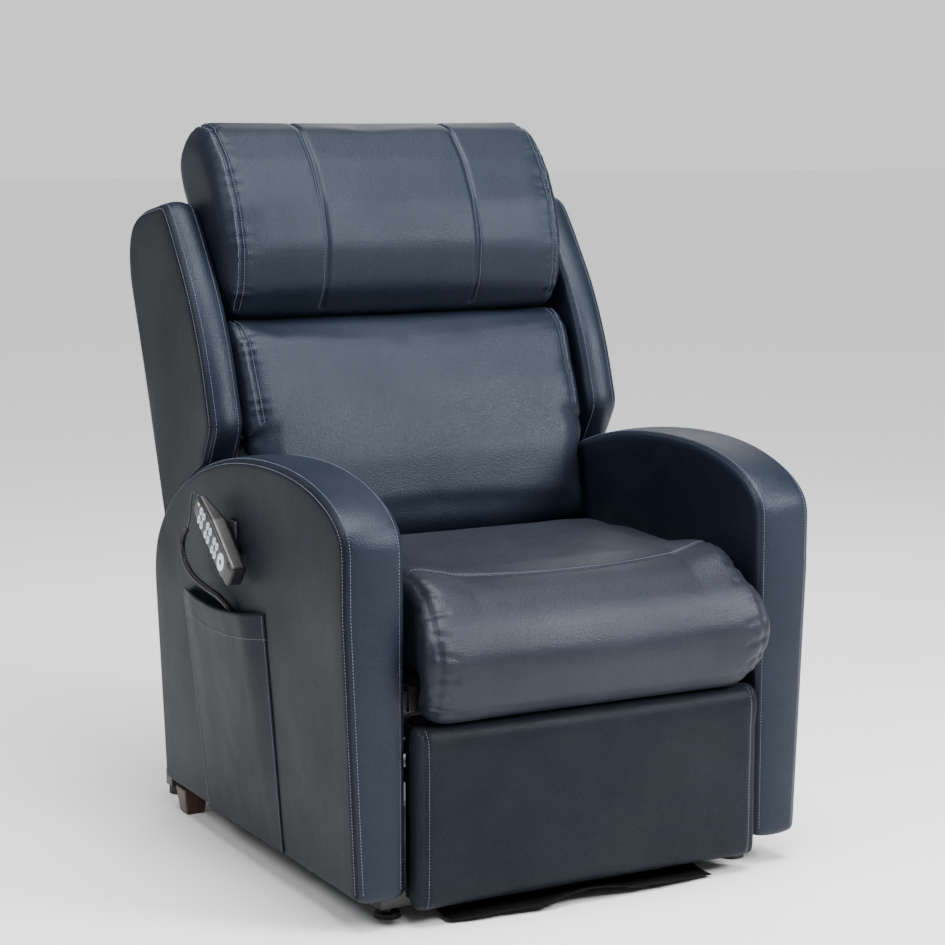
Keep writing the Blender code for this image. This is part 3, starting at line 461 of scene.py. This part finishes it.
def pad(name, node, body, material, shrink, cap, pressure=4.0, voxel=0.0065, frames=20,
        close=0.0030, grow=(0.0, 0.0, 0.0)):
    """A cushion blown up by cloth simulation from a shrunken CAD solid, and settled on that solid.

    shrink is how far each side of the solid's box moves in first, cap the most that a point
    moves in the simulation, close how far it may end from the solid, and grow what the
    finished box gains past the solid's far corner.
    """
    mesh = frame["nodes"][node].data.copy()
    tree = surface_of(mesh)
    mesh.name = name
    thing = piece(name, mesh, material, body)
    corner, far = (np.array(c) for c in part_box(node))
    middle = (corner + far) / 2
    points = get_points(mesh)
    set_points(mesh, middle + (points - middle) * (1 - 2 * np.array(shrink) / (far - corner)))
    change = thing.modifiers.new("remesh", "REMESH")
    change.mode = "VOXEL"
    change.voxel_size = voxel
    bake_modifiers(thing)
    start = get_points(thing.data).astype(float)
    start = relax(thing.data, start, 3)
    set_points(thing.data, start)
    cloth = thing.modifiers.new("cloth", "CLOTH")
    cloth.settings.use_pressure = True
    cloth.settings.uniform_pressure_force = pressure
    cloth.settings.effector_weights.gravity = 0.0
    cloth.settings.quality = 4
    cloth.point_cache.frame_start, cloth.point_cache.frame_end = 1, frames
    for number in range(1, frames + 1):
        bpy.context.scene.frame_set(number)
    bake_modifiers(thing)
    bpy.context.scene.frame_set(1)
    moved = get_points(thing.data).astype(float) - start
    length = np.linalg.norm(moved, axis=1, keepdims=True)
    moved *= np.minimum(1.0, cap / np.maximum(length, 1e-9))
    points = start + relax(thing.data, moved, 2)
    points = relax(thing.data, points, 2, 0.4)
    least, most = points.min(axis=0), points.max(axis=0)
    points = corner + (points - least) * ((far - corner) / (most - least))
    for passes in (2, 9):
        points = relax(thing.data, settle(points, tree, close, close), passes, 0.5)
    least, most = points.min(axis=0), points.max(axis=0)
    points = corner + (points - least) * ((far + grow - corner) / (most - least))
    set_points(thing.data, points)
    finer = thing.modifiers.new("finer", "SUBSURF")
    finer.levels = finer.render_levels = 1
    bake_modifiers(thing)
    thing.data.shade_smooth()
    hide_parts(node)
    return thing


def carve(thing, path, depth, width, pucker=0.0, wave=0.011, seed=0):
    """Sinks the surface along a path, and gathers it in small folds across the path."""
    path = spread(path, 0.0015)
    tree = KDTree(len(path))
    for i, point in enumerate(path):
        tree.insert(point, i)
    tree.balance()
    mesh = thing.data
    points, normals = get_points(mesh), get_normals(mesh)
    reach = max(width * 3, 0.030 if pucker else 0)
    low = np.min([tuple(p) for p in path], axis=0) - reach
    high = np.max([tuple(p) for p in path], axis=0) + reach
    near = np.where(((points > low) & (points < high)).all(axis=1))[0]
    for i in near:
        _, k, distance = tree.find(points[i])
        if distance > reach:
            continue
        sink = depth * math.exp(-(distance / width) ** 2)
        if pucker:
            along = k * 0.0015
            phase = along / wave * 2 * math.pi + 5 * noise.noise((along * 30, seed, 0.3))
            strength = 0.5 + 0.9 * noise.noise((along * 11, seed, 4.7))
            fade = math.exp(-((distance - 0.006) / 0.011) ** 2)
            sink += pucker * max(0.0, strength) * math.sin(phase) * fade
        points[i] -= normals[i] * sink
    set_points(mesh, points)


STITCH_SIDES, STITCH_RINGS = 5, ((-1.0, 0.35), (-0.6, 1.0), (0.6, 1.0), (1.0, 0.35))


def stitch(thing, paths, name, spacing=0.0046, length=0.0033, radius=0.0005, lift=0.0001):
    """Rows of short threads laid on a piece's surface; each path is only near the surface."""
    tree = surface_of(thing.data)
    verts, faces = [], []
    for path in paths:
        hits = [tree.find_nearest(p)[:2] for p in spread(path, spacing)]
        hits = [h for h in hits if h[0]]
        for i, (at, normal) in enumerate(hits):
            tangent = hits[min(i + 1, len(hits) - 1)][0] - hits[max(i - 1, 0)][0]
            tangent -= normal * tangent.dot(normal)
            if tangent.length < 1e-6:
                continue
            tangent.normalize()
            across = normal.cross(tangent)
            first = len(verts)
            for t, r in STITCH_RINGS:
                height = lift + (radius * 0.3 if abs(t) < 1 else -radius)
                centre = at + normal * height + tangent * (t * length / 2)
                for k in range(STITCH_SIDES):
                    angle = 2 * math.pi * k / STITCH_SIDES
                    verts.append(centre + (normal * math.sin(angle) + across * math.cos(angle)) * radius * r)
            for ring in range(len(STITCH_RINGS) - 1):
                for k in range(STITCH_SIDES):
                    a = first + ring * STITCH_SIDES + k
                    b = first + ring * STITCH_SIDES + (k + 1) % STITCH_SIDES
                    faces.append((a, b, b + STITCH_SIDES, a + STITCH_SIDES))
            last = first + (len(STITCH_RINGS) - 1) * STITCH_SIDES
            faces.append(tuple(range(first + STITCH_SIDES - 1, first - 1, -1)))
            faces.append(tuple(range(last, last + STITCH_SIDES)))
    mesh = bpy.data.meshes.new(name)
    mesh.from_pydata(verts, [], faces)
    body = body_of(thing)
    return piece(name, mesh, THREAD, body[0] if isinstance(body, (list, tuple)) else body)


# A padded edge as (distance in from the outline, depth below the face): the face's last
# stretch, the seam's valley, and the start of the band.
EDGE = [(0.016, 0.0), (0.0105, 0.0006), (0.0072, 0.0018), (0.0050, 0.0034), (0.0043, 0.0052),
        (0.0030, 0.0062), (0.0014, 0.0085), (0.0002, 0.0125)]


def bolster(name, node, body, material, outline, side, inner, outer, crown, ripple=0.0, spacing=0.0075,
            inner_band=9):
    """A board-backed padded piece: two flat sides, and a crowned band round its outline."""
    loop = spread([(0, *p) for p in outline], spacing, closed=True)
    for _ in range(2):
        loop = [(loop[i - 1] + loop[i] * 2 + loop[(i + 1) % len(loop)]) / 4 for i in range(len(loop))]
    count = len(loop)
    inward = []
    for i in range(count):
        tangent = loop[(i + 1) % count] - loop[i - 1]
        inward.append(Vector((0, -tangent.z, tangent.y)).normalized())
    centre = sum(loop, Vector()) / count
    if sum((centre - p).dot(n) for p, n in zip(loop, inward)) < 0:
        inward = [-n for n in inward]
    rows = []
    for factor in (0.93, 0.75, 0.5, 0.25, 0.08):
        rows.append(("shrink", factor, 0.0, "outer"))
    rows += [("inset", d, e, "outer") for d, e in EDGE]
    for i in range(1, inner_band - 1):
        u = i / (inner_band - 1) * 2 - 1
        rows.append(("band", -crown * (1 - u * u), u, None))
    rows += [("inset", d, e, "inner") for d, e in reversed(EDGE)]
    for factor in (0.08, 0.25, 0.5, 0.75, 0.93):
        rows.append(("shrink", factor, 0.0, "inner"))

    def face_x(which, point):
        return outer(point) if which == "outer" else inner

    verts = []
    for kind, amount, depth, which in rows:
        for p, n in zip(loop, inward):
            deep = EDGE[0][0] if kind == "shrink" else amount
            q = p + n * min(deep, 0.005)
            q += (centre - q).normalized() * max(0.0, deep - 0.005)
            if kind == "shrink":
                q = q.lerp(centre, amount)
            if kind == "band":
                a, b = outer(q) - EDGE[-1][1], inner + EDGE[-1][1]
                x = a + (b - a) * (depth + 1) / 2
            else:
                x = face_x(which, q) + (-depth if which == "outer" else depth)
                if kind == "shrink" and ripple:
                    outwards = 1 if which == "outer" else -1
                    x += outwards * ripple * noise.noise((q.y * 7, q.z * 7, side + depth))
            verts.append((side * x, q.y, q.z))
    faces = []
    for r in range(len(rows) - 1):
        for i in range(count):
            j = (i + 1) % count
            faces.append((r * count + i, r * count + j, (r + 1) * count + j, (r + 1) * count + i))
    for ring, which in ((0, "outer"), (len(rows) - 1, "inner")):
        verts.append((side * face_x(which, centre), centre.y, centre.z))
        for i in range(count):
            faces.append((ring * count + i, ring * count + (i + 1) % count, len(verts) - 1))
    mesh = bpy.data.meshes.new(name)
    mesh.from_pydata(verts, [], faces)
    shape = bmesh.new()
    shape.from_mesh(mesh)
    thing = piece(name, mesh_of(name, shape), material, body)
    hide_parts(node)
    return thing, loop, inward


def outline_rows(loop, inward, side, x_of, inset, start=0, end=None):
    """A path beside a bolster's edge."""
    part = list(zip(loop, inward))[start:end]
    return [Vector((side * x_of(p), (p + n * inset).y, (p + n * inset).z)) for p, n in part]


# ---------------------------------------------------------------- the cord
def cord():
    lead = smooth_curve(LEAD, 60)
    line = spread(smooth_curve(COIL, 240), 0.00025)
    turns = (len(line) - 1) * 0.00025 / COIL_PITCH
    path = [*lead[:-6]]
    side = Vector((1, 0, 0))
    ramp_in = int(len(line) * 0.03)
    for i in range(0, len(line)):
        tangent = (line[min(i + 1, len(line) - 1)] - line[max(i - 1, 0)]).normalized()
        side = (side - tangent * side.dot(tangent)).normalized()
        other = tangent.cross(side)
        angle = 2 * math.pi * turns * i / (len(line) - 1)
        radius = COIL_RADIUS * min(1.0, i / ramp_in)
        path.append(line[i] + (side * math.cos(angle) + other * math.sin(angle)) * radius)
    data = bpy.data.curves.new("handset_cord", "CURVE")
    data.dimensions = "3D"
    data.bevel_depth = WIRE / 2
    data.bevel_resolution = 2
    data.use_fill_caps = True
    spline = data.splines.new("POLY")
    spline.points.add(len(path) - 1)
    for point, at in zip(spline.points, path):
        point.co = (*at, 1)
    thing = bpy.data.objects.new("handset_cord", data)
    bpy.context.scene.collection.objects.link(thing)
    data.materials.append(RUBBER)
    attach(thing, "chassis")
    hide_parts("handset_lead", "handset_curl")


# ---------------------------------------------------------------- leather pieces
FACE_DEPTH = 0.0045                        # how far in from a side face the band's leather starts
FACE_ROW, FACE_INSET = 0.001, 0.0072       # the row of stitches on the side face
BAND_ROW, BAND_INSET = 0.0105, 0.0012      # the rows of stitches on the band


def arms():
    """Two arms: plain side panels, and a band of leather over the top and down the front."""
    outline = [(ARM_FRONT, ARM_BOTTOM), (ARM_REAR, ARM_BOTTOM)] + arm_top_line(0.0, 24)
    for name, side in SIDES:
        thing, loop, inward = bolster("arm_cover_" + name, "arm_" + name, "chassis", NAVY_PAINTED_SHADE, outline,
                                      side, ARM_INNER, lambda p: arm_outer(p.z), 0.0022, ripple=0.0006)
        thing.data.materials.append(NAVY)
        # Side faces keep the darker leather copy, painted shade; the band gets the plain navy.
        for face in thing.data.polygons:
            x = abs(face.center.x)
            if x < arm_outer(face.center.z) - FACE_DEPTH:
                face.material_index = 1
        shown = [i for i, p in enumerate(loop) if p.z > ARM_BOTTOM + 0.012]
        first = next(i for i in shown if i - 1 not in shown)
        order = [(first + k) % len(loop) for k in range(len(shown))]
        line, normals = [loop[i] for i in order], [inward[i] for i in order]
        rows = []
        for inset, place in ((BAND_INSET, lambda p: arm_outer(p.z) - BAND_ROW),
                             (FACE_INSET, lambda p: arm_outer(p.z) - FACE_ROW),
                             (BAND_INSET, lambda p: ARM_INNER + BAND_ROW)):
            rows.append(outline_rows(line, normals, side, place, inset))
        stitch(thing, rows, "arm_stitching_" + name)


def wings():
    """The two sides of the back; their outline is in (behind the back's front plane, up the back)."""
    profile = [(-0.026, 0.020), (-0.029, 0.120), (-0.019, 0.215), (0.000, 0.290), (0.019, 0.352),
               (0.032, 0.383), (0.048, 0.394), (0.090, 0.402), (0.138, 0.410), (0.176, 0.406),
               (0.200, 0.390), (0.217, 0.362), (WING_DEPTH, 0.325)]
    upper = [on_back(p.z, p.y) for p in smooth_curve([(0, *p) for p in profile], 49)]
    over = [p for p in arm_top_line(0.005, 24) if 0.112 < p[0] < 0.296]
    outline = upper + [on_back(-0.075, WING_DEPTH), *over, on_back(0.006, -0.018)]
    for name, side in SIDES:
        thing, loop, inward = bolster("wing_cover_" + name, "wing_" + name, "back", NAVY, outline, side,
                                      WING_INNER, lambda p: WING_OUTER, 0.0030, ripple=0.0010)
        thing.data.materials.append(NAVY_PAINTED_SHADE)
        # Side faces get the darker leather copy, painted shade; the band keeps the plain navy.
        for face in thing.data.polygons:
            if abs(face.center.x) > WING_OUTER - FACE_DEPTH:
                face.material_index = 1
        rows = [outline_rows(loop, inward, side, lambda p: WING_OUTER - BAND_ROW, BAND_INSET),
                outline_rows(loop, inward, side, lambda p: WING_OUTER - FACE_ROW, FACE_INSET),
                outline_rows(loop, inward, side, lambda p: WING_INNER + BAND_ROW, BAND_INSET)]
        stitch(thing, rows, "wing_stitching_" + name)


def fade_in(values, start, reach):
    """0 up to start, then rising to 1 over reach."""
    return np.clip((values - start) / reach, 0, 1)


def hump(values, middle, reach):
    """1 at middle, falling to 0 at reach on either side."""
    return np.clip(1 - ((values - middle) / reach) ** 2, 0, 1)


def across(outline, x):
    """A (y, z) outline as points at x."""
    return [Vector((x, y, z)) for y, z in outline]


def seat():
    """The seat, with its front roll pushed out past the CAD solid and gathered at both ends."""
    # The seat takes the paler leather copy, painted light.
    thing = pad("seat_pad", "seat_cushion", "chassis", NAVY_PAINTED_LIGHT, (0.006, 0.012, 0.010), 0.022)
    points = get_points(thing.data)
    x, y, z = points.T.copy()
    ends = fade_in(np.abs(x), 0.18, 0.08)
    roll = fade_in(-y, 0.398, 0.035) * hump(z, 0.388, 0.085)          # the front roll, ahead of the arms
    points[:, 0] += np.sign(x) * ends * roll * 0.016
    points[:, 1] -= roll * (0.014 + 0.008 * ends)
    y = points[:, 1].copy()
    crest = hump(y, -0.365, 0.085) * fade_in(z, 0.42, 0.04)
    points[:, 2] += ends * crest * 0.018
    z = points[:, 2].copy()
    hem = fade_in(-z, -0.335, 0.045) * fade_in(-y, 0.36, 0.05)
    points[:, 2] -= hem * 0.006
    set_points(thing.data, points)
    seam = [(x, -0.347 - 0.034 * (1 - (x / 0.2436) ** 2), 0.492) for x in np.linspace(-0.2436, 0.2436, 30)]
    ground = nearest_path(thing, seam)
    carve(thing, ground, 0.0030, 0.0045)
    stitch_rows = [[p + Vector((0, 0.0050, 0)) for p in ground]]
    for side in (-1, 1):
        edge = [(-0.330, 0.486), (-0.372, 0.482), (-0.410, 0.466), (-0.440, 0.436), (-0.458, 0.395),
                (-0.462, 0.345), (-0.455, 0.305), (-0.440, 0.288)]
        rim = nearest_path(thing, across(edge, side * 0.2600))
        carve(thing, rim, 0.0024, 0.0045, pucker=0.0010, wave=0.016, seed=side)
        for i in range(7):
            t = i / 6
            y, z = edge[2][0] + (edge[6][0] - edge[2][0]) * t, edge[2][1] + (edge[6][1] - edge[2][1]) * t
            bow = 0.030 * math.sin(math.pi * t)
            fold = [(side * 0.268, y - bow, z + 0.004), (side * 0.255, y - bow, z),
                    (side * (0.240 - 0.006 * math.sin(i * 2.3)), y - bow, z - 0.005)]
            carve(thing, nearest_path(thing, fold), 0.0017 + 0.0006 * math.sin(i * 1.7), 0.0050)
    stitch(thing, stitch_rows, "seat_stitching")


def nearest_path(thing, path, spacing=0.006):
    """The path drawn onto a piece's surface."""
    tree = surface_of(thing.data)
    return [tree.find_nearest(p)[0] for p in spread(path, spacing)]


def lumbar():
    thing = pad("lumbar_pad", "lumbar_cushion", "back", NAVY, (0.004, 0.010, 0.008), 0.022)
    points = get_points(thing.data)
    points[:, 0] *= 1 + 0.055 * np.exp(-((points[:, 2] - 0.605) / 0.030) ** 2)
    set_points(thing.data, points)
    front = [on_back(0.196, 0.060), on_back(0.188, 0.000), on_back(0.150, -0.026), on_back(0.020, -0.036)]
    rows = []
    for side in (-1, 1):
        seam = nearest_path(thing, across(front, side * 0.2800))
        carve(thing, seam, 0.0026, 0.0045, pucker=0.0009, wave=0.024, seed=3 + side)
        rows += [[p + Vector((side * dx, 0, 0)) for p in seam] for dx in (-0.0045, 0.0045)]
    stitch(thing, rows, "lumbar_stitching")


def headrest():
    thing = pad("headrest_pad", "headrest_cushion", "back", NAVY, (0.005, 0.012, 0.010), 0.022,
                close=0.0012, grow=(0.0, 0.0, 0.008))
    front = [on_back(0.470, 0.125), on_back(0.512, 0.090), on_back(0.520, 0.040), on_back(0.500, -0.010),
             on_back(0.440, -0.045), on_back(0.360, -0.066), on_back(0.290, -0.062), on_back(0.228, -0.034),
             on_back(0.200, 0.000)]
    rows = []
    for side in (-1, 1):
        seam = nearest_path(thing, across(front, side * 0.1335))
        carve(thing, seam, 0.0034, 0.0036)
        rows.append([p + Vector((side * 0.0045, 0, 0)) for p in seam])
        seam = nearest_path(thing, across(front, side * 0.2800))
        carve(thing, seam, 0.0038, 0.0042, pucker=0.0018, wave=0.023, seed=11 + side)
        rows += [[p + Vector((side * dx, 0, 0)) for p in seam] for dx in (-0.0045, 0.0045)]
    stitch(thing, rows, "headrest_stitching")


def footrest():
    # The footrest's front takes the darker leather copy, painted shade.
    thing = pad("footrest_pad", "footrest_cushion", "footrest", NAVY_PAINTED_SHADE, (0.002, 0.004, 0.003), 0.006,
                pressure=3.0, voxel=0.006, frames=14, close=0.0015)
    edge = [(-0.430, 0.2770), (-0.441, 0.262), (-0.443, 0.150), (-0.441, 0.040), (-0.436, 0.0235)]
    rows = []
    for side in (-1, 1):
        seam = nearest_path(thing, across(edge, side * 0.2690))
        carve(thing, seam, 0.0016, 0.0040)
        rows.append([p - Vector((side * 0.0045, 0, 0)) for p in seam])
    stitch(thing, rows, "footrest_stitching")


def boards():
    """The upholstered rear of the back, and the panel below it."""
    for name, node, body, pull in (("back_cover", "back_panel", "back", 0.004),
                                   ("rear_cover", "rear_panel", "chassis", 0.0)):
        mesh = frame["nodes"][node].data.copy()
        # Both boards take the darker leather copy, painted shade.
        thing = piece(name, mesh, NAVY_PAINTED_SHADE, body)
        change = thing.modifiers.new("remesh", "REMESH")
        change.mode = "VOXEL"
        change.voxel_size = 0.006 if pull else 0.004
        bake_modifiers(thing)
        points = relax(thing.data, get_points(thing.data).astype(float), 3)
        set_points(thing.data, points)
        normals = get_normals(thing.data)
        half = 0.30
        crown = np.clip(1 - (points[:, 0] / half) ** 2, 0, 1)[:, None]
        rear = np.clip(normals[:, 1], 0, 1)[:, None]
        set_points(thing.data, points + normals * crown * rear * pull)
        thing.data.shade_smooth()
        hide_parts(node)
        if pull:
            rows = []
            for x in (-0.272, 0.272):
                line = [on_back(-0.16, 0.235), on_back(0.30, 0.235), on_back(0.37, 0.215)]
                seam = nearest_path(thing, across(line, x))
                carve(thing, seam, 0.0025, 0.005)
                rows.append([p + Vector((0.005 if x < 0 else -0.005, 0, 0)) for p in seam])
            stitch(thing, rows, name + "_stitching")


def pocket():
    """Patch pocket on the near arm, with a turned hem at its mouth."""
    mouth = [(0.165, 0.375), (0.140, 0.389), (0.113, 0.3905), (0.069, 0.384), (0.015, 0.382), (-0.040, 0.385),
             (-0.095, 0.3915), (-0.149, 0.400)]
    bottom = [(0.109, 0.047), (-0.178, 0.050)]
    columns, rows = 60, 64
    top = spread([(0, *p) for p in mouth], 0.3150 / columns)
    top = [top[round(i * (len(top) - 1) / columns)] for i in range(columns + 1)]
    verts = []

    def stand(u, v):
        """How far the front of the pocket stands off the arm."""
        sides = min(1.0, max(0.0, u / 0.22), max(0.0, (1 - u) / 0.22))
        swell = math.sin(sides * math.pi / 2) ** 1.4
        return 0.0004 + 0.0140 * swell * v ** 1.5 + 0.0004 * noise.noise((u * 9, v * 9, 2.0)) * swell

    for layer in (0.0, 0.0016):
        for r in range(rows + 1):
            v = r / rows
            for c in range(columns + 1):
                u = c / columns
                low = Vector((0, *bottom[0])).lerp(Vector((0, *bottom[1])), u)
                at = low.lerp(top[c], v)
                hem = 0.0011 if v > 0.89 else 0.0
                thick = 0.0011 + hem * 0.6 if layer else 0.0
                verts.append((-arm_outer(at.z) - stand(u, v) - thick, at.y, at.z))
    wide = columns + 1
    size = wide * (rows + 1)
    faces = []
    for r in range(rows):
        for c in range(columns):
            a = r * wide + c
            faces.append((a, a + 1, a + wide + 1, a + wide))
            faces.append((size + a, size + a + wide, size + a + wide + 1, size + a + 1))
    rim = [c for c in range(wide)] + [r * wide + columns for r in range(1, rows + 1)]
    rim += [rows * wide + c for c in range(columns - 1, -1, -1)] + [r * wide for r in range(rows - 1, 0, -1)]
    for a, b in zip(rim, rim[1:] + rim[:1]):
        faces.append((a, size + a, size + b, b))
    mesh = bpy.data.meshes.new("pocket_front")
    mesh.from_pydata(verts, [], faces)
    shape = bmesh.new()
    shape.from_mesh(mesh)
    # The pocket takes the darker leather copy, painted shade.
    thing = piece("pocket_front", mesh_of("pocket_front", shape), NAVY_PAINTED_SHADE, "chassis")
    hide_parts("side_pocket")
    line = [Vector(verts[size + (rows - 7) * wide + c]) for c in range(columns + 1)]
    left = [Vector(verts[size + r * wide + 1]) for r in range(1, rows)]
    right = [Vector(verts[size + r * wide + columns - 1]) for r in range(1, rows)]
    stitch(thing, [line, left, right], "pocket_stitching", spacing=0.0044)


# ---------------------------------------------------------------- handset
def handset_matrix():
    up = Vector((0, math.cos(HANDSET_ANGLE), math.sin(HANDSET_ANGLE)))
    out = Vector((-1, 0, 0))
    turn = Matrix((out, up.cross(out), up)).transposed().to_4x4()
    return Matrix.Translation(HANDSET_END) @ turn


def rounded(width, height, radius, count=8):
    """Outline of a rounded rectangle round the origin."""
    made = []
    for k, (sx, sy) in enumerate(((1, 1), (-1, 1), (-1, -1), (1, -1))):
        for i in range(count + 1):
            angle = (k + i / count) * math.pi / 2
            made.append((sx * (width / 2 - radius) + radius * math.cos(angle),
                         sy * (height / 2 - radius) + radius * math.sin(angle)))
    return made


def slab(name, outline, low, high, place, material, body, dome=0.0):
    """A small moulding: outline in (across, along), from low to high out of the handset."""
    count = len(outline)
    verts, faces = [], []
    levels = [(low, 1.0), (high - 0.0004, 1.0), (high, 0.96), (high + dome * 0.7, 0.6), (high + dome, 0.25)]
    for out, scale in levels:
        verts += [place @ Vector((out, a * scale, b * scale)) for a, b in outline]
    for r in range(len(levels) - 1):
        for i in range(count):
            j = (i + 1) % count
            faces.append((r * count + i, r * count + j, (r + 1) * count + j, (r + 1) * count + i))
    faces += [tuple(range(count)), tuple((len(levels) - 1) * count + i for i in range(count))]
    mesh = bpy.data.meshes.new(name)
    mesh.from_pydata(verts, [], faces)
    shape = bmesh.new()
    shape.from_mesh(mesh)
    return piece(name, mesh_of(name, shape), material, body)


def bead(name, points, radius, material, body):
    """A round bead or wire along points, as a curve."""
    data = bpy.data.curves.new(name, "CURVE")
    data.dimensions = "3D"
    data.bevel_depth = radius
    data.bevel_resolution = 3
    data.use_fill_caps = True
    spline = data.splines.new("POLY")
    spline.points.add(len(points) - 1)
    for point, at in zip(spline.points, points):
        point.co = (*at, 1)
    data.materials.append(material)
    thing = bpy.data.objects.new(name, data)
    bpy.context.scene.collection.objects.link(thing)
    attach(thing, body)
    return thing


KEY_ROWS = (0.1290, 0.1175, 0.0985, 0.0870, 0.0680, 0.0565)      # along the handset, top row first
KEY_ACROSS, HOME_ALONG = 0.0085, 0.0340
MARK_LOW, MARK_HIGH = 0.0270, 0.02775


def handset():
    """What the handset's moulding carries: key plate, ridge, lamp, marks on the keys, cord relief."""
    place = handset_matrix()

    def spot(across, along):
        return place @ Matrix.Translation((0, across, along))

    def ridge_across(t):
        return 0.0205 * (1.0 if t < 0.6 else 1 - 0.34 * ((t - 0.6) / 0.4) ** 2)

    plate = [(a * (1.0 if b < 0 else 1.0 - 0.25 * (b / 0.066) ** 2), b)
             for a, b in rounded(0.037, 0.132, 0.011)]
    slab("keypad_plate", plate, 0.0250, 0.02645, spot(0, 0.0815), PAD, "chassis")
    edge = [place @ Vector((0.0262, ridge_across(t), 0.012 + 0.136 * t)) for t in np.linspace(0, 1, 24)]
    bead("keypad_ridge", edge, 0.0016, BLACK, "chassis")
    slab("power_lamp", rounded(0.0036, 0.0070, 0.0017), 0.0262, 0.0272, spot(0.0095, 0.1425), LAMP,
         "chassis", 0.0002)
    for i, row in enumerate(KEY_ROWS):
        for name, side in SIDES:
            up = 1 if i % 2 == 0 else -1
            arrow = [(-0.0022, -0.0011 * up), (0.0022, -0.0011 * up), (0.0, 0.0016 * up)]
            slab(f"key_mark_{name}_{i + 1}", arrow, MARK_LOW, MARK_HIGH, spot(side * KEY_ACROSS, row), MARK,
                 f"button_{name}_{i + 1}_body")
    turns = np.linspace(0, 2 * math.pi, 20, endpoint=False)
    ring = [(0.0045 * math.cos(t), 0.0036 * math.sin(t)) for t in turns]
    slab("key_mark_home", ring, MARK_LOW, MARK_HIGH, spot(0, HOME_ALONG), MARK, "button_home_body")
    relief = smooth_curve([Vector((-0.4030, 0.0215, 0.5350)), Vector(LEAD[0]), Vector(LEAD[1])], 12)
    bead("strain_relief", relief[:8], 0.0026, BLACK, "chassis")


# ---------------------------------------------------------------- lining cloth
def lining():
    """Black cloth that hangs from the front tube and lies forward in a loose fold."""
    node = "dust_cover"
    columns, rows = 110, 24
    route = [(-0.3760, 0.0350), (-0.3765, 0.0200), (-0.3800, 0.0085), (-0.3950, 0.0045), (-0.4200, 0.0025),
             (-0.4460, 0.0022)]
    line = spread([(0, *p) for p in route], 0.0001)
    verts = []
    for c in range(columns + 1):
        u = c / columns
        x = -0.225 + 0.430 * u
        arch = 0.013 * math.exp(-((u - 0.52) / 0.17) ** 2) + 0.003 * abs(math.sin(u * 9.5))
        for r in range(rows + 1):
            v = r / rows
            p = line[round(v * (len(line) - 1))]
            free = max(0.0, (v - 0.35) / 0.65)
            z = p.z + free * (arch + 0.0022 * (1 + noise.noise((u * 14, v * 3, 1.0))))
            y = p.y + free * 0.012 * noise.noise((u * 5, 0.0, 8.0)) + free * 0.014 * (2 * abs(u - 0.5)) ** 3
            verts.append((x, y, z))
    faces = []
    for c in range(columns):
        for r in range(rows):
            a = c * (rows + 1) + r
            faces.append((a, a + 1, a + rows + 2, a + rows + 1))
    mesh = bpy.data.meshes.new("lining_front")
    mesh.from_pydata(verts, [], faces)
    thing = piece("lining_front", mesh, LINING, "base")
    thick = thing.modifiers.new("thick", "SOLIDIFY")
    thick.thickness, thick.offset = 0.0009, 0.0
    bake_modifiers(thing)
    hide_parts(node)


# ---------------------------------------------------------------- CAD nodes that stay
def carried_over():
    """Materials for the CAD nodes that nothing here replaces."""
    moving = ("link_b", "link_c", "link_d", "bracket")
    kept = {STEEL: ["base_frame", "lift_frame", "front_link_left", "front_link_right", "seat_frame",
                    "back_frame", "footrest_drive"],
            DARK: [f"footrest_{kind}_{side}" for kind in moving for side, _ in SIDES],
            ZINC: ["lift_rod", "footrest_rod", "back_rod"],
            BLACK: ["lift_motor", "footrest_motor", "back_motor", "control_box", "handset_clip",
                    "handset_body"],
            GLIDE: ["levelling_foot_left", "levelling_foot_right", "rear_foot_left", "rear_foot_right"],
            KEY: [n for n in frame["nodes"] if n.startswith("button_")],
            WALNUT: ["rear_leg_left", "rear_leg_right"],
            FELT: ["seat_deck", "footrest_board"]}
    for material, names in kept.items():
        for name in names:
            slots = frame["nodes"][name].material_slots
            for slot in slots:
                slot.link = "OBJECT"
                slot.material = material


studio()
cord()
arms()
wings()
seat()
lumbar()
headrest()
footrest()
boards()
pocket()
handset()
lining()
carried_over()
